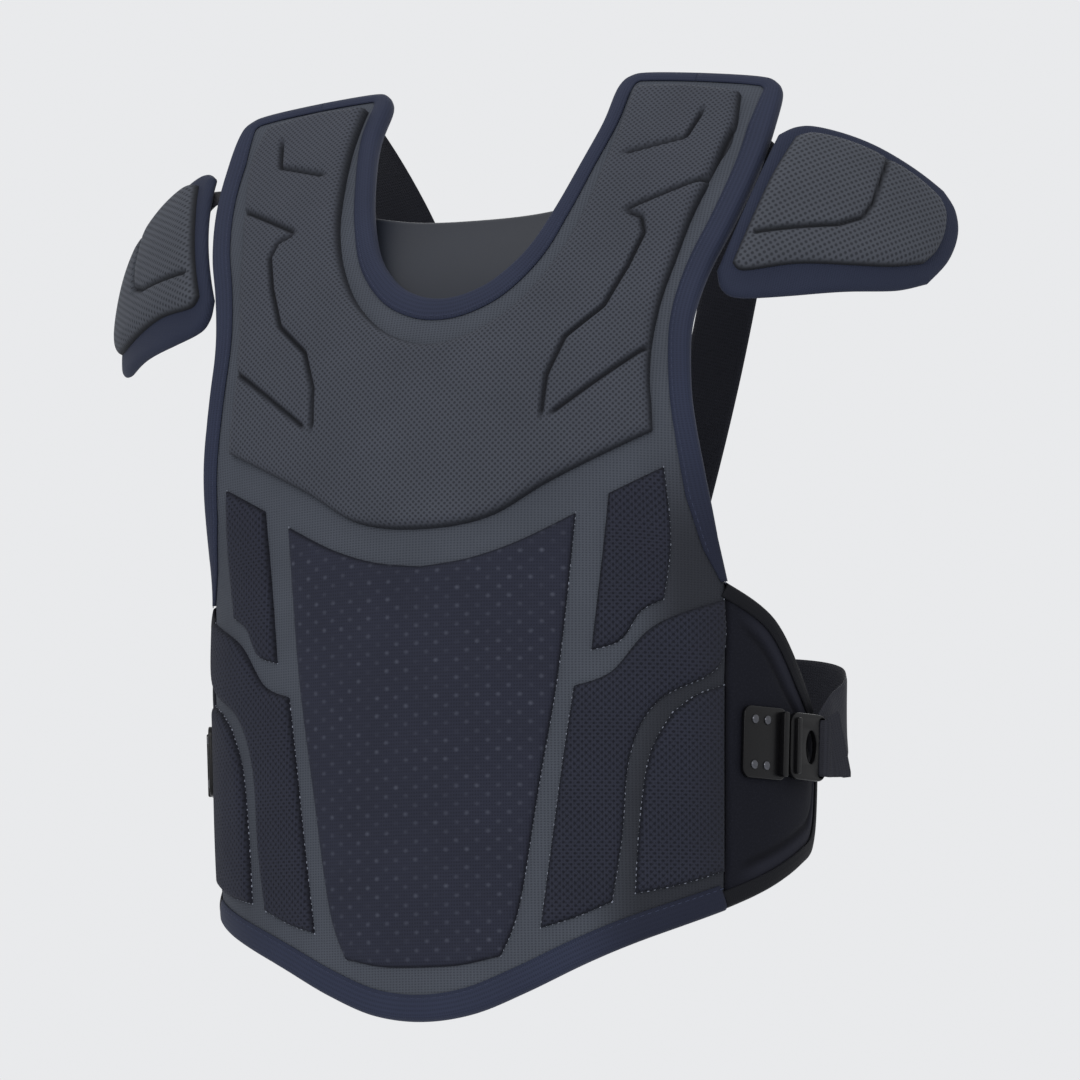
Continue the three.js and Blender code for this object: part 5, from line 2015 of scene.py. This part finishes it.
    def build_hook(self) -> None:
        """Hook with its ridge, finger hole and slot."""
        length, height, depth = self.hook
        ridge_l, ridge_h, ridge_rise = self.hook_bar
        hole_x, hole_rx, hole_ry = self.finger_hole
        angle = np.linspace(0, 2 * np.pi, self.hole_sides, endpoint=False)
        hole = np.stack([hole_x + hole_rx * np.cos(angle), hole_ry * np.sin(angle)], axis=1)
        slot = self.rounded_rectangle(*self.slot, self.slot_corner)
        slot = slot + np.array([self.slot_x - self.slot[0] / 2, 0.0])
        body = self.rounded_rectangle(length, height, self.hook_corner)
        ridge = self.rounded_rectangle(ridge_l, ridge_h, self.bar_corner)
        ridge = ridge + np.array([self.hook_bar_inset - ridge_l / 2, 0.0])
        pieces = [
            self.moulded("hook", [body, hole, slot], depth, 0.0),
            self.moulded("hook_ridge", [ridge], depth / 2 + ridge_rise, depth / 2),
        ]
        name = f"buckle_hook_{self.side.label}"
        self.settle(f"{name}_moulded", pieces, BUCKLE_NYLON, True, name)


class Stop(NamedTuple):
    """Seat of the cap tab: its flat place and its height."""

    spot: tuple[float, float]
    height: float


@dataclass
class Webbing:
    """All the black webbing: cap tabs, shoulder straps and the waist strap."""

    thickness: float = 2.5
    tab_width: float = 20
    tab_points: int = 61
    tab_flap: tuple[Stop, ...] = (
        Stop((160, 82), -1.75),
        Stop((169.5, 88), -5.55),
        Stop((182.5, 96.5), -8.75),
    )
    tab_seats: tuple[Stop, ...] = (
        Stop((-44, 3), -3.95),
        Stop((-36, 16), -2.95),
        Stop((-24, 34), -2.25),
    )
    strap_width: float = 38
    strap_points: int = 121
    shoulder: float = 125
    sewn: float = 24
    underside: float = -3.75
    under_flap: tuple[float, ...] = (82, 64, 44, 26, 8)
    back_route: tuple[tuple[float, float, float], ...] = (
        (74, -21, 0.05),
        (101, -60, 0.15),
        (116, -130, 0.34),
        (120.5, -225, 0.6),
        (121, -322, 0.9),
        (121, -373, 1.0),
    )
    back_turn: tuple[float, float] = (0.35, 0.7)
    waist_width: float = 46
    waist_throat: float = 34
    waist_spread: float = 0.2
    waist_turn: float = 0.12
    waist_points: int = 97
    head_points: int = 57
    slack: float = 1.0
    tail: float = 12
    tail_lift: float = 1.5
    tail_rise: float = 4
    tail_widths: tuple[float, float] = (0.9, 0.85)
    waist_route: tuple[tuple[float, float, float], ...] = (
        (198.5, 34, -385),
        (197, 54, -375),
        (183, 80, -364),
        (150, 102, -356),
        (84, 114, -352),
        (0, 118, -350),
    )

    def lay(self, name: str, middle: Array, across: Array, width: Array) -> None:
        """Makes the webbing of one node and dresses it."""
        strap = Strap(middle, across, width).build(f"{name}_webbing")
        dress(strap, WEBBING, "black_webbing", name)

    def build_tab(self, side: Side) -> None:
        """Tab from under the shoulder flap to the underside of the cap.

        Args:
            side: Side that it is on.
        """
        form = CapForm(side)
        flap = side.flip(np.array([s.spot for s in self.tab_flap]))
        seats = np.array([s.spot for s in self.tab_seats])
        points = np.concatenate([
            TORSO.on(flap, np.array([s.height for s in self.tab_flap])),
            form.on(seats, np.array([s.height for s in self.tab_seats])),
        ])
        facing = np.concatenate([TORSO.frame(flap)[2], form.on(seats, 1.0) - form.on(seats, 0.0)])
        shares = np.linspace(0.0, 1.0, self.tab_points)
        middle = centripetal_curve(points, shares)
        out = smooth_curve(facing, shares)
        across = np.cross(out, np.gradient(middle, axis=0))
        self.lay(f"cap_tab_{side.label}", middle, across, np.full(len(middle), self.tab_width))

    def build_shoulder(self, side: Side) -> None:
        """Strap sewn under the flap, over the crest and down the back.

        Args:
            side: Side that it is on.
        """
        flap = np.array([(side.sign * self.shoulder, down) for down in self.under_flap])
        under = TORSO.on(flap, self.underside)
        inward = self.sewn - self.shoulder
        reach = [side.sign * (self.shoulder + inward * share) for _, _, share in self.back_route]
        back = np.array([(x, y, z) for x, (y, z, _) in zip(reach, self.back_route)])
        shares = np.linspace(0.0, 1.0, self.strap_points)
        middle = centripetal_curve(np.concatenate([under, back]), shares)
        flap_way = TORSO.frame(flap[1:2])[0]
        turn = smoothstep(shares, *self.back_turn)[:, None]
        across = flap_way * (1 - turn) + np.array([[1.0, 0.0, 0.0]]) * turn
        self.lay(f"shoulder_strap_{side.label}", middle, across, np.full(len(middle), self.strap_width))

    def build_waist(self) -> None:
        """Strap from hook to hook: a tail outside each hook, a turn through its slot and round the back."""
        buckle = Buckle(Side.LEFT)
        turn = self.thickness / 2 + self.slack
        length, _, depth = buckle.hook
        outside = depth + turn
        wide = self.waist_width
        end, half_way = (share * wide for share in self.tail_widths)
        stops = np.array([
            (length + self.tail, self.tail_rise, outside + self.tail_lift, end),
            (length + self.tail / 2, self.tail_rise / 2, outside + self.tail_lift / 2, half_way),
            (length, 0, outside, self.waist_throat),
            (buckle.slot_x + turn, 0, outside, self.waist_throat),
            (buckle.slot_x, 0, depth, self.waist_throat),
            (buckle.slot_x, 0, 0, self.waist_throat),
            (buckle.slot_x + turn, 0, -turn, self.waist_throat),
            (length, 0, -turn, self.waist_throat),
        ])
        turned = buckle.seat.world(buckle.hook_place(stops[:, :3]))
        slot_way = buckle.seat.axes[1]
        shares = np.linspace(0.0, 1.0, self.head_points)
        head = centripetal_curve(turned, shares)
        head_width = np.interp(shares * (len(stops) - 1), np.arange(len(stops)), stops[:, 3])
        route = np.concatenate([turned[-1:], np.array(self.waist_route)])
        shares = np.linspace(0.0, 1.0, self.waist_points)[1:]
        back = centripetal_curve(route, shares)
        spread = smoothstep(shares, 0.0, self.waist_spread)
        back_width = self.waist_throat + (wide - self.waist_throat) * spread
        turn_up = smoothstep(shares, 0.0, self.waist_turn)[:, None]
        back_across = slot_way * (1 - turn_up) + np.array([[0.0, 0.0, 1.0]]) * turn_up
        middle = np.concatenate([head, back])
        across = np.concatenate([np.tile(slot_way, (len(head), 1)), back_across])
        width = np.concatenate([head_width, back_width])
        mirror = np.array([-1.0, 1.0, 1.0])
        middle = np.concatenate([middle, middle[-2::-1] * mirror])
        across = np.concatenate([across, across[-2::-1] * mirror])
        width = np.concatenate([width, width[-2::-1]])
        self.lay("waist_strap", middle, across, width)

    def build(self) -> None:
        """Makes every strap."""
        for side in Side:
            self.build_tab(side)
            self.build_shoulder(side)
        self.build_waist()


# Studio


class SoftLight(NamedTuple):
    """Square soft box: where it stands in metres, its size in metres and its power in watts."""

    name: str
    place: tuple[float, float, float]
    size: float
    power: float


@dataclass
class Studio:
    """Pale floor, soft boxes and the photo's camera. Pixels are those of the 1080 by 1080 photo."""

    azimuth: float = 23.0
    distance: float = 4000.0
    focal_px: float = 2367.0
    centre_px: float = 540.0
    origin_px: float = 515.0
    camera_drop: float = 739.0
    aim_px: tuple[float, float] = (525.0, 258.0)
    frame_px: float = 390.0
    sensor_mm: float = 36.0
    floor_z: float = -1.55
    floor_radius: float = 16.0
    floor_sides: int = 96
    aim: tuple[float, float, float] = (0.0, -0.05, -0.28)
    room: str = "#f4f5f7"
    room_strength: float = 0.9
    lights: tuple[SoftLight, ...] = (
        SoftLight("key", (0.3, -3.4, 1.1), 2.0, 48),
        SoftLight("side", (3.0, -1.6, 0.4), 1.6, 3),
        SoftLight("top", (0.1, -0.3, 2.6), 2.2, 12),
        SoftLight("back", (-0.8, 3.0, 1.6), 2.0, 20),
    )

    def build_camera(self) -> None:
        """Camera where the photo was taken from, turned to the object and zoomed in on it."""
        angle = math.radians(self.azimuth)
        right = Vector((math.cos(angle), math.sin(angle), 0.0))
        back = Vector((math.sin(angle), -math.cos(angle), 0.0))
        up = Vector((0.0, 0.0, 1.0))
        sideways = (self.centre_px - self.origin_px) * self.distance / self.focal_px
        place = back * self.distance + right * sideways - up * self.camera_drop
        x, y = ((at - self.centre_px) / self.focal_px for at in self.aim_px)
        way = right * x - up * y - back
        data = bpy.data.cameras.new("camera")
        data.sensor_width = self.sensor_mm
        data.lens = self.sensor_mm * self.focal_px / self.frame_px
        camera = bpy.data.objects.new("camera", data)
        camera.location = place * MM
        camera.rotation_mode = "QUATERNION"
        camera.rotation_quaternion = way.to_track_quat("-Z", "Y")
        bpy.context.scene.collection.objects.link(camera)
        bpy.context.scene.camera = camera

    def build_lights(self) -> None:
        """Soft boxes turned to the object, and a pale room."""
        for light in self.lights:
            data = bpy.data.lights.new(light.name, "AREA")
            data.shape = "SQUARE"
            data.size = light.size
            data.energy = light.power
            box = bpy.data.objects.new(light.name, data)
            box.location = light.place
            way = Vector(self.aim) - Vector(light.place)
            box.rotation_mode = "QUATERNION"
            box.rotation_quaternion = way.to_track_quat("-Z", "Y")
            bpy.context.scene.collection.objects.link(box)
        world = bpy.data.worlds.new("studio")
        world.use_nodes = True
        room = world.node_tree.nodes["Background"]
        room.inputs["Color"].default_value = linear(self.room)
        room.inputs["Strength"].default_value = self.room_strength
        bpy.context.scene.world = world
        bpy.context.scene.view_settings.view_transform = "Standard"

    def build_floor(self) -> None:
        """Large pale disc below the object."""
        angle = np.linspace(0, 2 * np.pi, self.floor_sides, endpoint=False)
        rim = np.stack([np.cos(angle), np.sin(angle), np.zeros(len(angle))], axis=1) * self.floor_radius
        points = (rim + np.array([0.0, 0.0, self.floor_z])) / MM
        flat = points * np.array([1.0, 1.0, 0.0])
        floor = mesh_object("floor", points, [list(range(len(points)))], {"flat_mm": flat})
        floor.data.materials.append(FLOOR_PAPER.material())

    def build(self) -> None:
        """Makes the camera, the lights and the floor."""
        self.build_camera()
        self.build_lights()
        self.build_floor()


def main() -> None:
    """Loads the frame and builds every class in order."""
    logging.basicConfig(level=logging.INFO, format="%(name)s: %(message)s")
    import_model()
    Studio().build()
    Front().build()
    Bindings().build()
    ThroatGuard().build()
    for side in Side:
        ShoulderCap(side).build()
        Wing(side).build()
        Buckle(side).build()
    Webbing().build()


if __name__ == "__main__":
    main()
